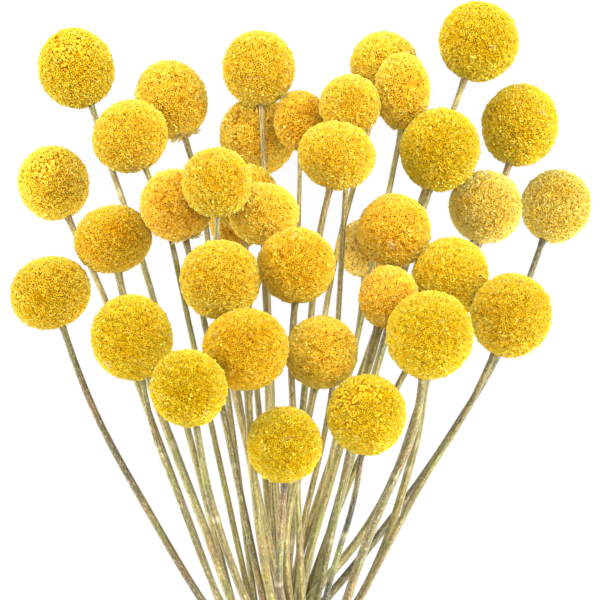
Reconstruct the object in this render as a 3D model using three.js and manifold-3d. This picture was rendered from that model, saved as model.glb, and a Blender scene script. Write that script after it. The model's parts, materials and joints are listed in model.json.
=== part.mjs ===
// A bunch of 37 dried billy buttons (Craspedia): round flower heads on slender, gently bowed stems,
// gathered at a waist by a few turns of twine. The bunch lies on a flat surface.
// Millimetres. +X runs across the bunch, +Y from the cut ends to the heads, +Z up from the surface.
// The origin is below the middle of the whole bunch, on the surface.

import * as THREE from "three";
import { ConvexHull } from "three/addons/math/ConvexHull.js";
import { mergeVertices } from "three/addons/utils/BufferGeometryUtils.js";
import Module from "manifold-3d";

const wasm = await Module();
wasm.setup();

const { degToRad, lerp, seededRandom } = THREE.MathUtils;

// ---------------------------------------------------------------- driving dimensions

const WAIST_HEIGHT = 39; // middle of the tie above the surface
const WAIST_PITCH = 3.3; // between the rings of stems at the waist
const WAIST_RINGS = 3; // rings of stems round the middle one: 6, 12 and 18 stems
const WAIST_TURN = degToRad(84); // how far a stem has spiralled round by the waist
const WAIST_BEND = 11; // the stems bend over this length on either side of the waist

const TAIL_LENGTH = 165; // from the waist to the cut ends
const TAIL_TRIM = 9; // how unevenly the ends are cut
const TAIL_FLARE = 2.9; // how far a stem runs sideways to its end, in times its distance from the middle
const TAIL_SEGMENTS = 4;

const STEM_TOP = 0.76; // thickness under the head, in times that at the waist
const STEM_END = 1.1; // thickness at the cut end, in times that at the waist
const STEM_SIDES = 5;
const STEM_SEGMENT = 23; // longest straight length of a stem between the waist and its head
const STEM_GAP = 0.35; // air between neighbouring stems
const HEAD_GAP = 0.8; // air between a stem and another stem's head
const JOIN = 0.45; // how far two neighbouring stems press into each other at the waist
const JOIN_LENGTH = 18; // pressed stems part again within this length of the waist

const CLUSTER_PITCH = 6.8; // between the tips of neighbouring floret clusters
const CLUSTER_RELIEF = 1.2; // from a cluster's tip down to the crease round it
const CLUSTER_SHIFT = 0.16; // how unevenly the clusters sit, in times their pitch
const SEAT_DEPTH = 1.75; // the stem meets the head on a small flat this far inside its outline
const SEAT_GAP = 0.3;
const HEAD_SPACING = 0.5; // least air between two heads
const HEAD_LIFT = 0.3; // least air below a head that rests on other heads
const HEAD_DIP = 0.6; // how steeply a stem leaves its head, in times the straight way down to the waist
const PRESSED = 1.2; // how far the lowest clusters of a resting head are pressed flat

const TWINE_DIAMETER = 2.2;
const TWINE_TURNS = 4;
const TWINE_SEGMENTS = 20;
const TWINE_CLEARANCE = 0.35;
const TWINE_SHOULDER = 0.5; // the height of the valley between two turns, in diameters
const TWINE_CREST = 0.93; // the height of a turn's crest, in diameters
const TWINE_CREST_SPAN = [0.3, 0.7]; // from where to where the crest runs across a turn, in diameters

const SETTLE_PASSES = 400; // turns of moving touching heads apart
const RELAX_PASSES = 360; // turns of moving touching stems apart
const EASE_PASSES = 250; // in the first turns the stems are drawn straight as well
const STIFFNESS = 0.22; // the share of each bend that is eased in a turn
const LEAN_PULL = 1.2 * STIFFNESS; // how strongly a stem is drawn along the way it leaves its head
const PASS_PULL = 0.6; // and through each place that it passes
const SLOT_PULL = 0.6; // and through its slot at the waist
const END_PULL = 0.3; // and to the place of its cut end
const OFF_STEM = 0.4; // the share of a touch that each of two stems gives way in a turn
const OFF_HEAD = 0.7; // the share of a touch that a stem gives way to a head in a turn
const LEVEL_STEP = 4.5; // stems are kept apart at levels this far from each other
const WAIST_LEVEL_STEP = 2.2; // and at closer ones near the waist
const WAIST_REACH = 30; // which count as near within this length of it

const WELD = 1e-4; // corners nearer than this are one corner
const TINY = 1e-6;

const REST = null; // in place of a height: the head lies on the surface

// Each head: its centre across and along from the waist, its height above the surface, its width and its
// length along the stem; the lean of its stem from straight down (degrees, + to the right) and the stem's
// thickness at the waist; its tint.
const HEADS = [
  [-69.3, 211.2, REST, 24.1, 26.5, 23, 2.6, "lemon"],
  [-7.8, 211.0, 24.5, 23.2, 24.4, 4, 2.4, "golden"],
  [-37.2, 200.5, 16, 22.9, 25.8, 20, 2.5, "golden"],
  [-50.9, 188.0, 33, 24.7, 22.9, 26, 2.3, "golden"],
  [-8.3, 188.5, REST, 24.3, 25.2, 2, 2.9, "lemon"],
  [-76.9, 172.6, REST, 22.8, 24.2, 22, 2.6, "lemon"],
  [-21.6, 172.3, 65, 22.0, 22.3, 0, 2.5, "golden"],
  [-6.0, 162.0, 54.5, 22.4, 19.9, 0, 2.4, "golden"],
  [-35.1, 165.0, 48, 23.4, 23.3, 14, 2.7, "amber"],
  [-56.5, 153.6, 40, 24.9, 21.6, 9, 3.3, "amber"],
  [-77.3, 135.8, 42, 25.9, 23.2, 20, 2.8, "golden"],
  [-20.5, 140.2, 71, 25.7, 25.2, 5, 3.0, "golden"],
  [4.8, 144.8, 65, 24.6, 24.2, -3, 2.8, "amber"],
  [-12.3, 167.7, 34.5, 21.6, 21.6, 0, 2.4, "golden"],
  [-15.8, 159.0, 13, 16.4, 17.2, 2, 2.0, "amber"],
  [65.9, 220.1, 20, 25.8, 26.1, -20, 2.7, "lemon"],
  [80.0, 192.2, REST, 24.6, 26.8, -16, 2.9, "lemon"],
  [34.3, 212.4, REST, 21.7, 21.4, -14, 2.4, "lemon"],
  [40.2, 203.2, 29.5, 17.7, 25.2, 0, 2.5, "golden"],
  [22.7, 198.5, 33, 19.3, 19.5, -4, 2.3, "golden"],
  [5.9, 193.5, 27, 16.4, 19.2, 0, 2.0, "amber"],
  [18.2, 181.6, 47, 24.8, 21.7, -12, 2.8, "golden"],
  [52.7, 183.5, 36, 25.4, 27.1, -15, 3.1, "lemon"],
  [68.1, 164.5, 28, 23.6, 23.3, -20, 2.6, "straw"],
  [92.1, 165.0, REST, 22.2, 24.0, -21, 2.7, "straw"],
  [37.4, 156.4, 48, 23.2, 23.7, -10, 2.6, "amber"],
  [28.0, 150.6, 20, 19.0, 18.4, -3, 2.2, "straw"],
  [56.0, 140.8, 50, 24.7, 26.0, -17, 3.1, "lemon"],
  [35.3, 134.3, 60, 18.8, 20.0, -15, 3.1, "amber"],
  [76.0, 128.3, 62, 25.8, 27.0, -23, 2.6, "golden"],
  [48.9, 121.7, 77, 27.8, 28.3, -9, 3.5, "lemon"],
  [13.1, 116.0, 68, 23.1, 23.3, -11, 2.7, "golden"],
  [28.0, 95.5, 77, 25.0, 25.6, -8, 2.4, "lemon"],
  [0.9, 85.5, 82, 23.5, 24.4, 0, 3.1, "lemon"],
  [-49.7, 120.8, 70, 26.0, 27.9, 14, 2.4, "lemon"],
  [-30.8, 104.3, 91, 24.2, 24.6, 13, 3.1, "lemon"],
  [-12.1, 117.0, 80, 27.3, 26.3, 3, 3.4, "amber"],
];

// Where the stems in plain view pass, across and along from the waist, by the number of their head.
const PASSES = {
  1: [[-62, 189], [-55, 171], [-43, 133.3]],
  2: [[-7.5, 176]],
  4: [[-45, 175]],
  6: [[-68.5, 159], [-58.7, 132]],
  7: [[-21.8, 150]],
  10: [[-45, 107.7], [-37, 86], [-27, 60.5], [-17.2, 33.3]],
  11: [[-63.3, 97.3], [-46.7, 66.7], [-27.3, 33.3]],
  16: [[57.3, 197]],
  17: [[66.3, 152.7], [48.3, 105.7], [41, 84], [32, 62]],
  18: [[29, 190], [21, 159]],
  19: [[34.7, 167.8]],
  20: [[17.2, 104.6], [12.2, 79], [5.3, 50.3]],
  22: [[12.3, 156.7]],
  23: [[46.3, 164]],
  24: [[63.7, 153.7], [43, 113], [31, 90], [21, 70]],
  25: [[74.5, 118], [62.5, 97], [52, 82], [43, 68], [32, 54], [15.3, 33.7]],
  28: [[46.7, 94.4], [42, 76], [36.3, 57], [28, 36]],
  29: [[28.3, 108.3], [19, 84.3], [11.9, 58], [3.7, 33.3]],
  30: [[62.7, 97.3], [52.7, 83], [44.3, 69], [26, 33.5]],
  31: [[44.5, 96], [41, 80], [33, 66.5], [27.5, 52], [21.6, 33.3]],
  32: [[9, 94.7], [0.5, 53]],
  33: [[25.3, 73], [20.5, 54], [15, 37.7]],
  34: [[-0.6, 66], [-2.3, 33.3]],
  35: [[-44.9, 96.1], [-33.8, 67], [-21.5, 33.5]],
  36: [[-27.3, 82], [-21.8, 60.7], [-13.7, 36.7]],
  37: [[-10.7, 90], [-8.8, 67.3], [-4.6, 38]],
};

// ---------------------------------------------------------------- materials

const TINTS = { lemon: 0xedc220, golden: 0xe8b225, amber: 0xdb9c1e, straw: 0xd9b548 };

const stemMaterial = new THREE.MeshStandardMaterial({ color: 0x9c8f62, roughness: 0.85, metalness: 0 });
const twineMaterial = new THREE.MeshStandardMaterial({ color: 0xb89a6a, roughness: 0.95, metalness: 0 });
const floretMaterials = Object.fromEntries(
  Object.entries(TINTS).map(([tint, color]) => [
    tint,
    new THREE.MeshStandardMaterial({ color, roughness: 0.9, metalness: 0, flatShading: true }),
  ]),
);

// ---------------------------------------------------------------- helpers

/** A repeatable random number between two others. */
function between(low, high) {
  return lerp(low, high, seededRandom());
}

/** A number with a leading zero, as the meshes' names have it. */
function twoDigits(number) {
  return String(number).padStart(2, "0");
}

/** Every pair out of a list, once. */
function* pairsOf(list) {
  for (let i = 0; i < list.length; i++) {
    for (let j = i + 1; j < list.length; j++) yield [list[i], list[j]];
  }
}

/** A closed geometry as a solid that can be joined and cut. */
function solidOf(geometry) {
  const bare = new THREE.BufferGeometry().setAttribute("position", geometry.getAttribute("position"));
  bare.setIndex(geometry.getIndex());
  const merged = mergeVertices(bare, WELD);
  return new wasm.Manifold(
    new wasm.Mesh({
      numProp: 3,
      vertProperties: merged.getAttribute("position").array,
      triVerts: new Uint32Array(merged.getIndex().array),
    }),
  );
}

/** A solid as a geometry again. */
function geometryOf(solid) {
  const mesh = solid.getMesh();
  return new THREE.BufferGeometry()
    .setAttribute("position", new THREE.BufferAttribute(mesh.vertProperties, 3))
    .setIndex(new THREE.BufferAttribute(mesh.triVerts, 1));
}

// ---------------------------------------------------------------- where the heads lie

/** The heads in their places, before any that touch are moved apart. */
function placeHeads() {
  return HEADS.map(([across, along, height, width, length, lean, stemThickness, tint], index) => {
    const rests = height === REST;
    const centre = new THREE.Vector3(across, along, rests ? width / 2 - PRESSED : height);
    const dip = (HEAD_DIP * (WAIST_HEIGHT - centre.z)) / along;
    const down = new THREE.Vector3(Math.tan(degToRad(lean)), -1, dip).normalize();
    return { number: index + 1, centre, down, rests, width, length, stemThickness, tint };
  });
}

/** A head's reach from its centre toward a point: heads are a little longer or flatter along their stem. */
function reachToward(head, point) {
  const direction = point.clone().sub(head.centre).normalize();
  const along = direction.dot(head.down) ** 2;
  return 1 / Math.sqrt(along / (head.length / 2) ** 2 + (1 - along) / (head.width / 2) ** 2);
}

/** Moves heads that touch apart in height, the upper one up and the lower one down. */
function settleHeads(heads) {
  for (let pass = 0; pass < SETTLE_PASSES; pass++) {
    for (const [a, b] of pairsOf(heads)) {
      const apart = a.centre.clone().sub(b.centre);
      const reach = reachToward(a, b.centre) + reachToward(b, a.centre) + HEAD_SPACING;
      const flat = Math.hypot(apart.x, apart.y);
      const missing = Math.sqrt(Math.max(reach ** 2 - flat ** 2, 0)) - Math.abs(apart.z);
      if (missing <= 0) continue;
      const shareOfA = a.rests ? 0 : b.rests ? 1 : 0.5;
      const up = Math.sign(apart.z) * missing;
      a.centre.z += up * shareOfA;
      b.centre.z -= up * (1 - shareOfA);
    }
    for (const head of heads) {
      if (!head.rests) head.centre.z = Math.max(head.centre.z, head.width / 2 + HEAD_LIFT);
    }
  }
}

// ---------------------------------------------------------------- how the stems run

/** One stem: its nodes run from the head's seat through the waist to the cut end. */
class Stem {
  constructor(head) {
    this.head = head;
    this.end = -TAIL_LENGTH + between(0, TAIL_TRIM);
    this.top = head.centre.clone().addScaledVector(head.down, head.length / 2 - SEAT_DEPTH + SEAT_GAP);
    this.spread = new THREE.Vector2(this.top.x, this.top.z - WAIST_HEIGHT).divideScalar(this.top.y);
    this.partner = null;
  }

  /** Its radius at a distance along the bunch from the waist. */
  radiusAt(along) {
    const taper = along > 0 ? lerp(1, STEM_TOP, along / this.top.y) : lerp(1, STEM_END, -along / TAIL_LENGTH);
    return (this.head.stemThickness / 2) * taper;
  }

  /** First run: straight from the head to its place at the waist, then spiralling on to its end. */
  lay(slot) {
    this.slot = slot;
    const rows = Math.ceil((this.top.y - WAIST_BEND) / STEM_SEGMENT);
    this.nodes = [];
    for (let row = 0; row <= rows; row++) {
      const along = lerp(this.top.y, WAIST_BEND, row / rows);
      const share = 1 - along / this.top.y;
      const x = lerp(this.top.x, slot.x, share);
      this.nodes.push(new THREE.Vector3(x, along, lerp(this.top.z, WAIST_HEIGHT + slot.y, share)));
    }
    this.waist = this.nodes.length;
    this.nodes.push(this.tailAt(0), this.tailAt(-WAIST_BEND));
    for (let k = 1; k <= TAIL_SEGMENTS; k++) {
      this.nodes.push(this.tailAt(lerp(-WAIST_BEND, this.end, k / TAIL_SEGMENTS)));
    }
    this.endPlace = this.nodes.at(-1).clone();
  }

  /** Where its tail is at a distance along the bunch; the bunch's middle sinks so that the ends rest. */
  tailAt(along) {
    const share = -along / TAIL_LENGTH;
    const sideways = this.slot.clone().rotateAround(new THREE.Vector2(), -Math.PI / 2);
    const place = this.slot.clone().addScaledVector(sideways, TAIL_FLARE * share);
    const endHeight = WAIST_RINGS * WAIST_PITCH * Math.hypot(1, TAIL_FLARE) + this.radiusAt(this.end);
    return new THREE.Vector3(place.x, along, lerp(WAIST_HEIGHT, endHeight, share) + place.y);
  }

  /** The point at a distance along the bunch, or null beyond the stem's ends. */
  locate(along) {
    const { nodes } = this;
    if (along > nodes[0].y || along < nodes.at(-1).y) return null;
    let k = 0;
    while (k < nodes.length - 2 && nodes[k + 1].y > along) k++;
    const run = nodes[k].clone().sub(nodes[k + 1]);
    const share = (nodes[k].y - along) / run.y;
    const point = nodes[k].clone().lerp(nodes[k + 1], share);
    return { stem: this, k, share, point, radius: (this.radiusAt(along) * run.length()) / run.y };
  }
}

/** Gives every stem its slot at the waist: rings of 1, 6, 12 and 18, the most leaning stems outside. */
function placeAtWaist(stems) {
  const byLean = [...stems].sort((a, b) => b.spread.length() - a.spread.length());
  for (let ring = WAIST_RINGS; ring >= 0; ring--) {
    const count = Math.max(6 * ring, 1);
    const step = (2 * Math.PI) / count;
    const turnOf = (stem) => Math.atan2(stem.spread.y, stem.spread.x) - WAIST_TURN;
    const members = byLean.splice(0, count).sort((a, b) => turnOf(a) - turnOf(b));
    const turn = members.reduce((sum, stem, k) => sum + turnOf(stem) - k * step, 0) / count;
    const slots = members.map((_, k) => {
      const angle = turn + k * step;
      return new THREE.Vector2(Math.cos(angle), Math.sin(angle)).multiplyScalar(ring * WAIST_PITCH);
    });
    // neighbours in a ring press into each other two by two
    for (let k = 0; k + 1 < count; k += 2) {
      const inward = slots[k + 1].clone().sub(slots[k]);
      const touching = members[k].radiusAt(0) + members[k + 1].radiusAt(0) - JOIN;
      inward.setLength((inward.length() - touching) / 2);
      slots[k].add(inward);
      slots[k + 1].sub(inward);
      members[k].partner = members[k + 1];
      members[k + 1].partner = members[k];
    }
    members.forEach((stem, k) => stem.lay(slots[k]));
  }
}

/** Moves the stretch of stem round a located point, but not the node at its head. */
function nudge(at, dx, dz) {
  const weights = [1 - at.share, at.share];
  const total = weights[0] ** 2 + weights[1] ** 2;
  weights.forEach((weight, i) => {
    const node = at.stem.nodes[at.k + i];
    if (at.k + i === 0) return;
    node.x += (dx * weight) / total;
    node.z += (dz * weight) / total;
    at.point.x += (dx * weight ** 2) / total;
    at.point.z += (dz * weight ** 2) / total;
  });
}

/** Pushes a located point off another point until they are `need` apart. */
function pushOff(at, other, need, share) {
  const dx = at.point.x - other.x;
  const dz = at.point.z - other.z;
  const gap = Math.hypot(dx, dz) || TINY;
  const push = (share * Math.max(need - gap, 0)) / gap;
  nudge(at, dx * push, dz * push);
}

/** Eases a stem's bends and draws it along the way it leaves its head, its passes, its slot and its end. */
function easeStem(stem) {
  const { nodes, head, waist } = stem;
  for (let k = 1; k < nodes.length - 1; k++) {
    const [above, here, below] = [nodes[k - 1], nodes[k], nodes[k + 1]];
    const share = (above.y - here.y) / (above.y - below.y);
    here.x += STIFFNESS * (lerp(above.x, below.x, share) - here.x);
    here.z += STIFFNESS * (lerp(above.z, below.z, share) - here.z);
  }
  const run = nodes[0].y - nodes[1].y;
  nodes[1].x += LEAN_PULL * (nodes[0].x - (head.down.x / head.down.y) * run - nodes[1].x);
  for (const [across, along] of PASSES[head.number] ?? []) {
    const at = stem.locate(along);
    nudge(at, PASS_PULL * (across - at.point.x), 0);
  }
  nodes[waist].lerp(stem.tailAt(0), SLOT_PULL);
  nodes.at(-1).lerp(stem.endPlace, END_PULL);
}

/** Lets the stems bow until none touches another stem or another stem's head. */
function relaxStems(stems, heads) {
  const highest = Math.max(...stems.map((stem) => stem.top.y));
  const levels = [];
  let level = -TAIL_LENGTH;
  while (level <= highest) {
    levels.push(level);
    level += Math.abs(level) < WAIST_REACH ? WAIST_LEVEL_STEP : LEVEL_STEP;
  }
  for (let pass = 0; pass < RELAX_PASSES; pass++) {
    if (pass < EASE_PASSES) stems.forEach(easeStem);
    for (const along of levels) {
      const here = stems.map((stem) => stem.locate(along)).filter(Boolean);
      for (const [a, b] of pairsOf(here)) {
        if (a.stem.partner === b.stem && Math.abs(along) < JOIN_LENGTH) continue;
        const need = a.radius + b.radius + STEM_GAP;
        const [fromA, fromB] = [a.point.clone(), b.point.clone()];
        pushOff(a, fromB, need, OFF_STEM);
        pushOff(b, fromA, need, OFF_STEM);
      }
      for (const at of here) {
        for (const head of heads) {
          if (head === at.stem.head) continue;
          const reach = reachToward(head, at.point) + at.radius + HEAD_GAP;
          const rise = Math.abs(along - head.centre.y);
          if (rise < reach) pushOff(at, head.centre, Math.sqrt(reach ** 2 - rise ** 2), OFF_HEAD);
        }
        nudge(at, 0, Math.max(at.radius - at.point.z, 0));
      }
    }
  }
}

// ---------------------------------------------------------------- flower heads

/** Unevenly shifted points all over a unit sphere, evenly spread from its pole at +Y to its pole at -Y. */
function scatterTips(count) {
  const goldenAngle = Math.PI * (3 - Math.sqrt(5));
  const shift = CLUSTER_SHIFT * Math.sqrt((4 * Math.PI) / count);
  return Array.from({ length: count }, (_, k) => {
    const y = 1 - (2 * k + 1) / count;
    const ring = Math.sqrt(1 - y * y);
    const tip = new THREE.Vector3(ring * Math.cos(k * goldenAngle), y, ring * Math.sin(k * goldenAngle));
    tip.x += between(-shift, shift);
    tip.y += between(-shift, shift);
    tip.z += between(-shift, shift);
    return tip.normalize();
  });
}

/** A head before it is turned onto its stem: low pyramids of florets all over, the stem's seat at -Y. */
function headGeometry(head) {
  const outline = new THREE.Vector3(head.width / 2, head.length / 2, head.width / 2);
  const creases = outline.clone().subScalar(CLUSTER_RELIEF);
  const seat = -outline.y + SEAT_DEPTH;
  const meanRadius = (2 * outline.x + outline.y) / 3;
  const clusterArea = (CLUSTER_PITCH ** 2 * Math.sqrt(3)) / 2;
  const count = Math.round((4 * Math.PI * meanRadius ** 2) / clusterArea);
  const { faces } = new ConvexHull().setFromPoints(scatterTips(count));

  // a crease's corner lies in the middle of every three neighbouring tips
  const edgesOf = (face) => [0, 1, 2].map((i) => face.getEdge(i));
  for (const face of faces) {
    face.middle = new THREE.Vector3();
    for (const edge of edgesOf(face)) face.middle.add(edge.head().point);
    face.middle.normalize();
  }
  const place = (direction, size) => {
    const point = direction.clone().multiply(size);
    return point.setY(Math.max(point.y, seat));
  };
  const corners = [];
  for (const edge of faces.flatMap(edgesOf)) {
    corners.push(place(edge.head().point, outline));
    corners.push(place(edge.face.middle, creases));
    corners.push(place(edge.twin.face.middle, creases));
  }
  return mergeVertices(new THREE.BufferGeometry().setFromPoints(corners), WELD);
}

/** One flower head on its stem, pressed flat where it lies on the surface. */
function flowerHead(head) {
  const geometry = headGeometry(head);
  geometry.applyQuaternion(new THREE.Quaternion().setFromUnitVectors(new THREE.Vector3(0, -1, 0), head.down));
  const mesh = new THREE.Mesh(geometry, floretMaterials[head.tint]);
  mesh.name = `head_${twoDigits(head.number)}`;
  mesh.position.copy(head.centre);
  if (head.rests) {
    const block = new THREE.BoxGeometry(head.width * 2, head.length * 2, head.width);
    block.translate(0, 0, -head.centre.z - head.width / 2);
    mesh.geometry = geometryOf(solidOf(geometry).subtract(solidOf(block)));
  }
  return mesh;
}

// ---------------------------------------------------------------- stems

/** A tube along a stem's nodes, thickening toward its cut end, its top face square to the head's axis. */
function stemGeometry(stem) {
  const { nodes, head } = stem;
  const rows = nodes.length - 1;
  const geometry = new THREE.CylinderGeometry(1, 1, rows, STEM_SIDES, rows);
  geometry.translate(0, -rows / 2, 0);
  const directions = nodes.map((node, k) => {
    const before = k === 0 ? head.down : node.clone().sub(nodes[k - 1]).normalize();
    const after = k === rows ? before : nodes[k + 1].clone().sub(node).normalize();
    return k === 0 ? before.clone() : before.clone().add(after).normalize();
  });
  const position = geometry.getAttribute("position");
  const point = new THREE.Vector3();
  for (let i = 0; i < position.count; i++) {
    point.fromBufferAttribute(position, i);
    const k = Math.round(-point.y);
    const direction = directions[k];
    const across = new THREE.Vector3(1, 0, 0).addScaledVector(direction, -direction.x).normalize();
    const upward = new THREE.Vector3().crossVectors(direction, across);
    const radius = stem.radiusAt(nodes[k].y);
    const place = nodes[k].clone();
    place.addScaledVector(across, point.x * radius).addScaledVector(upward, point.z * radius);
    position.setXYZ(i, place.x, place.y, place.z);
  }
  return geometry;
}

/** The stems as meshes: each one alone, or joined with the neighbour that it is pressed into. */
function stemMeshes(stems) {
  const meshes = [];
  for (const stem of stems) {
    const { partner } = stem;
    if (partner && partner.head.number < stem.head.number) continue;
    const joined = partner && solidOf(stemGeometry(stem)).add(solidOf(stemGeometry(partner)));
    const mesh = new THREE.Mesh(joined ? geometryOf(joined) : stemGeometry(stem), stemMaterial);
    const numbers = [stem, ...(partner ? [partner] : [])].map((member) => twoDigits(member.head.number));
    mesh.name = `${partner ? "stems" : "stem"}_${numbers.join("_")}`;
    meshes.push(mesh);
  }
  return meshes;
}

// ---------------------------------------------------------------- twine

/** How far the stems reach from the waist's middle toward an angle, anywhere inside the tie. */
function waistReach(stems, angle) {
  const halfSpan = (TWINE_TURNS * TWINE_DIAMETER) / 2;
  const reaches = stems.flatMap((stem) =>
    [-halfSpan, 0, halfSpan].map((along) => {
      const { point, radius } = stem.locate(along);
      return point.x * Math.cos(angle) + (point.z - WAIST_HEIGHT) * Math.sin(angle) + radius;
    }),
  );
  return Math.max(...reaches);
}

/** The corners of the tightest loop round the stems that has a side facing every one of equal turns. */
function loopRound(stems) {
  const step = (2 * Math.PI) / TWINE_SEGMENTS;
  return Array.from({ length: TWINE_SEGMENTS }, (_, i) => {
    const here = waistReach(stems, i * step) + TWINE_CLEARANCE;
    const next = waistReach(stems, (i + 1) * step) + TWINE_CLEARANCE;
    const forward = new THREE.Vector2(Math.cos(i * step), Math.sin(i * step));
    const sideways = new THREE.Vector2(-forward.y, forward.x);
    const along = (next - here * Math.cos(step)) / Math.sin(step);
    return forward.multiplyScalar(here).addScaledVector(sideways, along);
  });
}

/** The tie: turns of twine side by side round the waist, drawn tight on the stems, as one ring. */
function twineTie(stems) {
  const halfSpan = TWINE_TURNS / 2;
  const onTwine = (height, along) => new THREE.Vector2(1 + TWINE_DIAMETER * height, TWINE_DIAMETER * along);
  const profile = [onTwine(0, -halfSpan)];
  for (let turn = 0; turn < TWINE_TURNS; turn++) {
    profile.push(onTwine(TWINE_SHOULDER, turn - halfSpan));
    for (const crest of TWINE_CREST_SPAN) profile.push(onTwine(TWINE_CREST, turn - halfSpan + crest));
  }
  profile.push(onTwine(TWINE_SHOULDER, halfSpan), onTwine(0, halfSpan), profile[0]);
  const geometry = new THREE.LatheGeometry(profile, TWINE_SEGMENTS);

  // the ring of radius 1 is let out until it lies round the stems
  const corners = loopRound(stems);
  const position = geometry.getAttribute("position");
  for (let i = 0; i < position.count; i++) {
    const angle = Math.atan2(position.getZ(i), position.getX(i));
    const side = Math.round((angle / (2 * Math.PI)) * TWINE_SEGMENTS);
    const corner = corners[(side + TWINE_SEGMENTS) % TWINE_SEGMENTS];
    const out = 1 + (Math.hypot(position.getX(i), position.getZ(i)) - 1) / corner.length();
    position.setX(i, corner.x * out);
    position.setZ(i, corner.y * out);
  }
  const mesh = new THREE.Mesh(geometry, twineMaterial);
  mesh.name = "twine_tie";
  mesh.position.z = WAIST_HEIGHT;
  return mesh;
}

// ---------------------------------------------------------------- the bunch

/** Lets the bunch sink from the waist to its cut ends until the lowest end lies on the surface. */
function lowerTails(stems) {
  const lift = Math.min(...stems.map((stem) => stem.nodes.at(-1).z - stem.radiusAt(stem.end)));
  for (const { nodes } of stems) {
    for (const node of nodes) node.z -= (lift * Math.max(-node.y, 0)) / TAIL_LENGTH;
  }
}

/** The whole bunch, with the origin below its middle. */
function buildBunch() {
  seededRandom(37);
  const heads = placeHeads();
  settleHeads(heads);
  const stems = heads.map((head) => new Stem(head));
  placeAtWaist(stems);
  relaxStems(stems, heads);
  lowerTails(stems);

  const bunch = new THREE.Group();
  bunch.add(...heads.map(flowerHead), ...stemMeshes(stems), twineTie(stems));
  const middle = new THREE.Box3().setFromObject(bunch, true).getCenter(new THREE.Vector3());
  bunch.position.set(-middle.x, -middle.y, 0);
  return bunch;
}

export default buildBunch();
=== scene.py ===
"""Dress a packed bunch of dried billy buttons (Craspedia globosa) for its pictures.

The bunch lies on a pale table and is seen from straight above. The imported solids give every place
and size: a flower head of small florets grows on the outline of each solid head, a ribbed and
woolly stem is drawn along each solid stem, and a twisted twine is wound where the solid tie is.
Lengths are in metres, and the sizes that a florist would know are written in millimetres times MM.
"""

import json
import logging
import math
from collections.abc import Sequence
from dataclasses import dataclass, field
from enum import Enum, IntEnum
from itertools import permutations
from typing import Any

import bmesh
import bpy
import numpy as np
from bpy.types import Material, Mesh, Node, NodeSocket, NodeTree, Object
from mathutils import Matrix, Vector
from mathutils.geometry import convex_hull_2d


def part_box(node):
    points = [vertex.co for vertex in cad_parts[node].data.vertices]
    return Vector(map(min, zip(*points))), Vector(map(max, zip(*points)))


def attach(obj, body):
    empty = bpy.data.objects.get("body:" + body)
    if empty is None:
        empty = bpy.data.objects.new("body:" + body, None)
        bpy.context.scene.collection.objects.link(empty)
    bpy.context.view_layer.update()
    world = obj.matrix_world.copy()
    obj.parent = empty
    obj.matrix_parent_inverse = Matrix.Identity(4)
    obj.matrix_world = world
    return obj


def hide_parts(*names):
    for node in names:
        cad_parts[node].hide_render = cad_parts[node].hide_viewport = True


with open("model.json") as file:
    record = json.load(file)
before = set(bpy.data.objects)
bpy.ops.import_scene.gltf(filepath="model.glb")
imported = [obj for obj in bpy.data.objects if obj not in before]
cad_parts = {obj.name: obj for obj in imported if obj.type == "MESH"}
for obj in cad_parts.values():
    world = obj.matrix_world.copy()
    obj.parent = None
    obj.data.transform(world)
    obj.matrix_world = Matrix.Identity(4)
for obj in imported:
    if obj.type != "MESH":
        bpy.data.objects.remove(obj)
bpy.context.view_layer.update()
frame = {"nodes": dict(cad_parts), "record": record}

MM = 0.001
WELD_DIGITS = 7  # of a coordinate in metres, by which two corners are one
GOLDEN_ANGLE = math.pi * (3 - math.sqrt(5))
BODY = "root"

log = logging.getLogger("billy_buttons")


class Draw(IntEnum):
    """The seed of each random draw in the trees."""

    FLORET_SWAY = 3
    FIBRE_PLACE = 4
    FLORET_WIDTH = 5
    FIBRE_SWAY = 6
    FLORET_KIND = 7
    FIBRE_LENGTH = 8
    FLORET_NUMBER = 9
    BRACT_RING = 13
    FLORET_RISE = 17


# ---------------------------------------------------------------- colours, nodes and meshes


def linear(colour: str) -> tuple[float, float, float, float]:
    """Turn an sRGB hex colour into the linear colour that Blender's sockets take.

    Args:
        colour: Six hex digits with a leading #.

    Returns:
        Red, green and blue, linear, and an alpha of 1.
    """
    parts = [int(colour[i : i + 2], 16) / 255 for i in (1, 3, 5)]
    red, green, blue = (c / 12.92 if c <= 0.04045 else ((c + 0.055) / 1.055) ** 2.4 for c in parts)
    return red, green, blue, 1.0


def feed(node: Node, inputs: dict[str, Any] | tuple[Any, ...]) -> None:
    """Give a node its fixed values and its links.

    Args:
        node: The node.
        inputs: A value for each input, by the inputs' names or in their order. A node stands for
            its first output. Sockets that the node's settings switch off don't count.
    """
    sockets = [socket for socket in node.inputs if socket.enabled]
    if isinstance(inputs, dict):
        sockets = [next(socket for socket in sockets if socket.name == name) for name in inputs]
        inputs = tuple(inputs.values())
    for socket, value in zip(sockets, inputs):
        if isinstance(value, Node):
            value = next(output for output in value.outputs if output.enabled)
        if isinstance(value, NodeSocket):
            node.id_data.links.new(value, socket)
        else:
            socket.default_value = value


def add(tree: NodeTree, kind: str, inputs: dict[str, Any] | tuple[Any, ...] = (), **settings: Any) -> Node:
    """Add one node to a tree, with its settings, its fixed values and its links.

    Args:
        tree: The tree that gets the node.
        kind: The node's type, as Blender names it.
        inputs: What its inputs get, by name or in their order.
        settings: The node's own properties.

    Returns:
        The new node.
    """
    node = tree.nodes.new(kind)
    for name, value in settings.items():
        setattr(node, name, value)
    feed(node, inputs)
    return node


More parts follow.
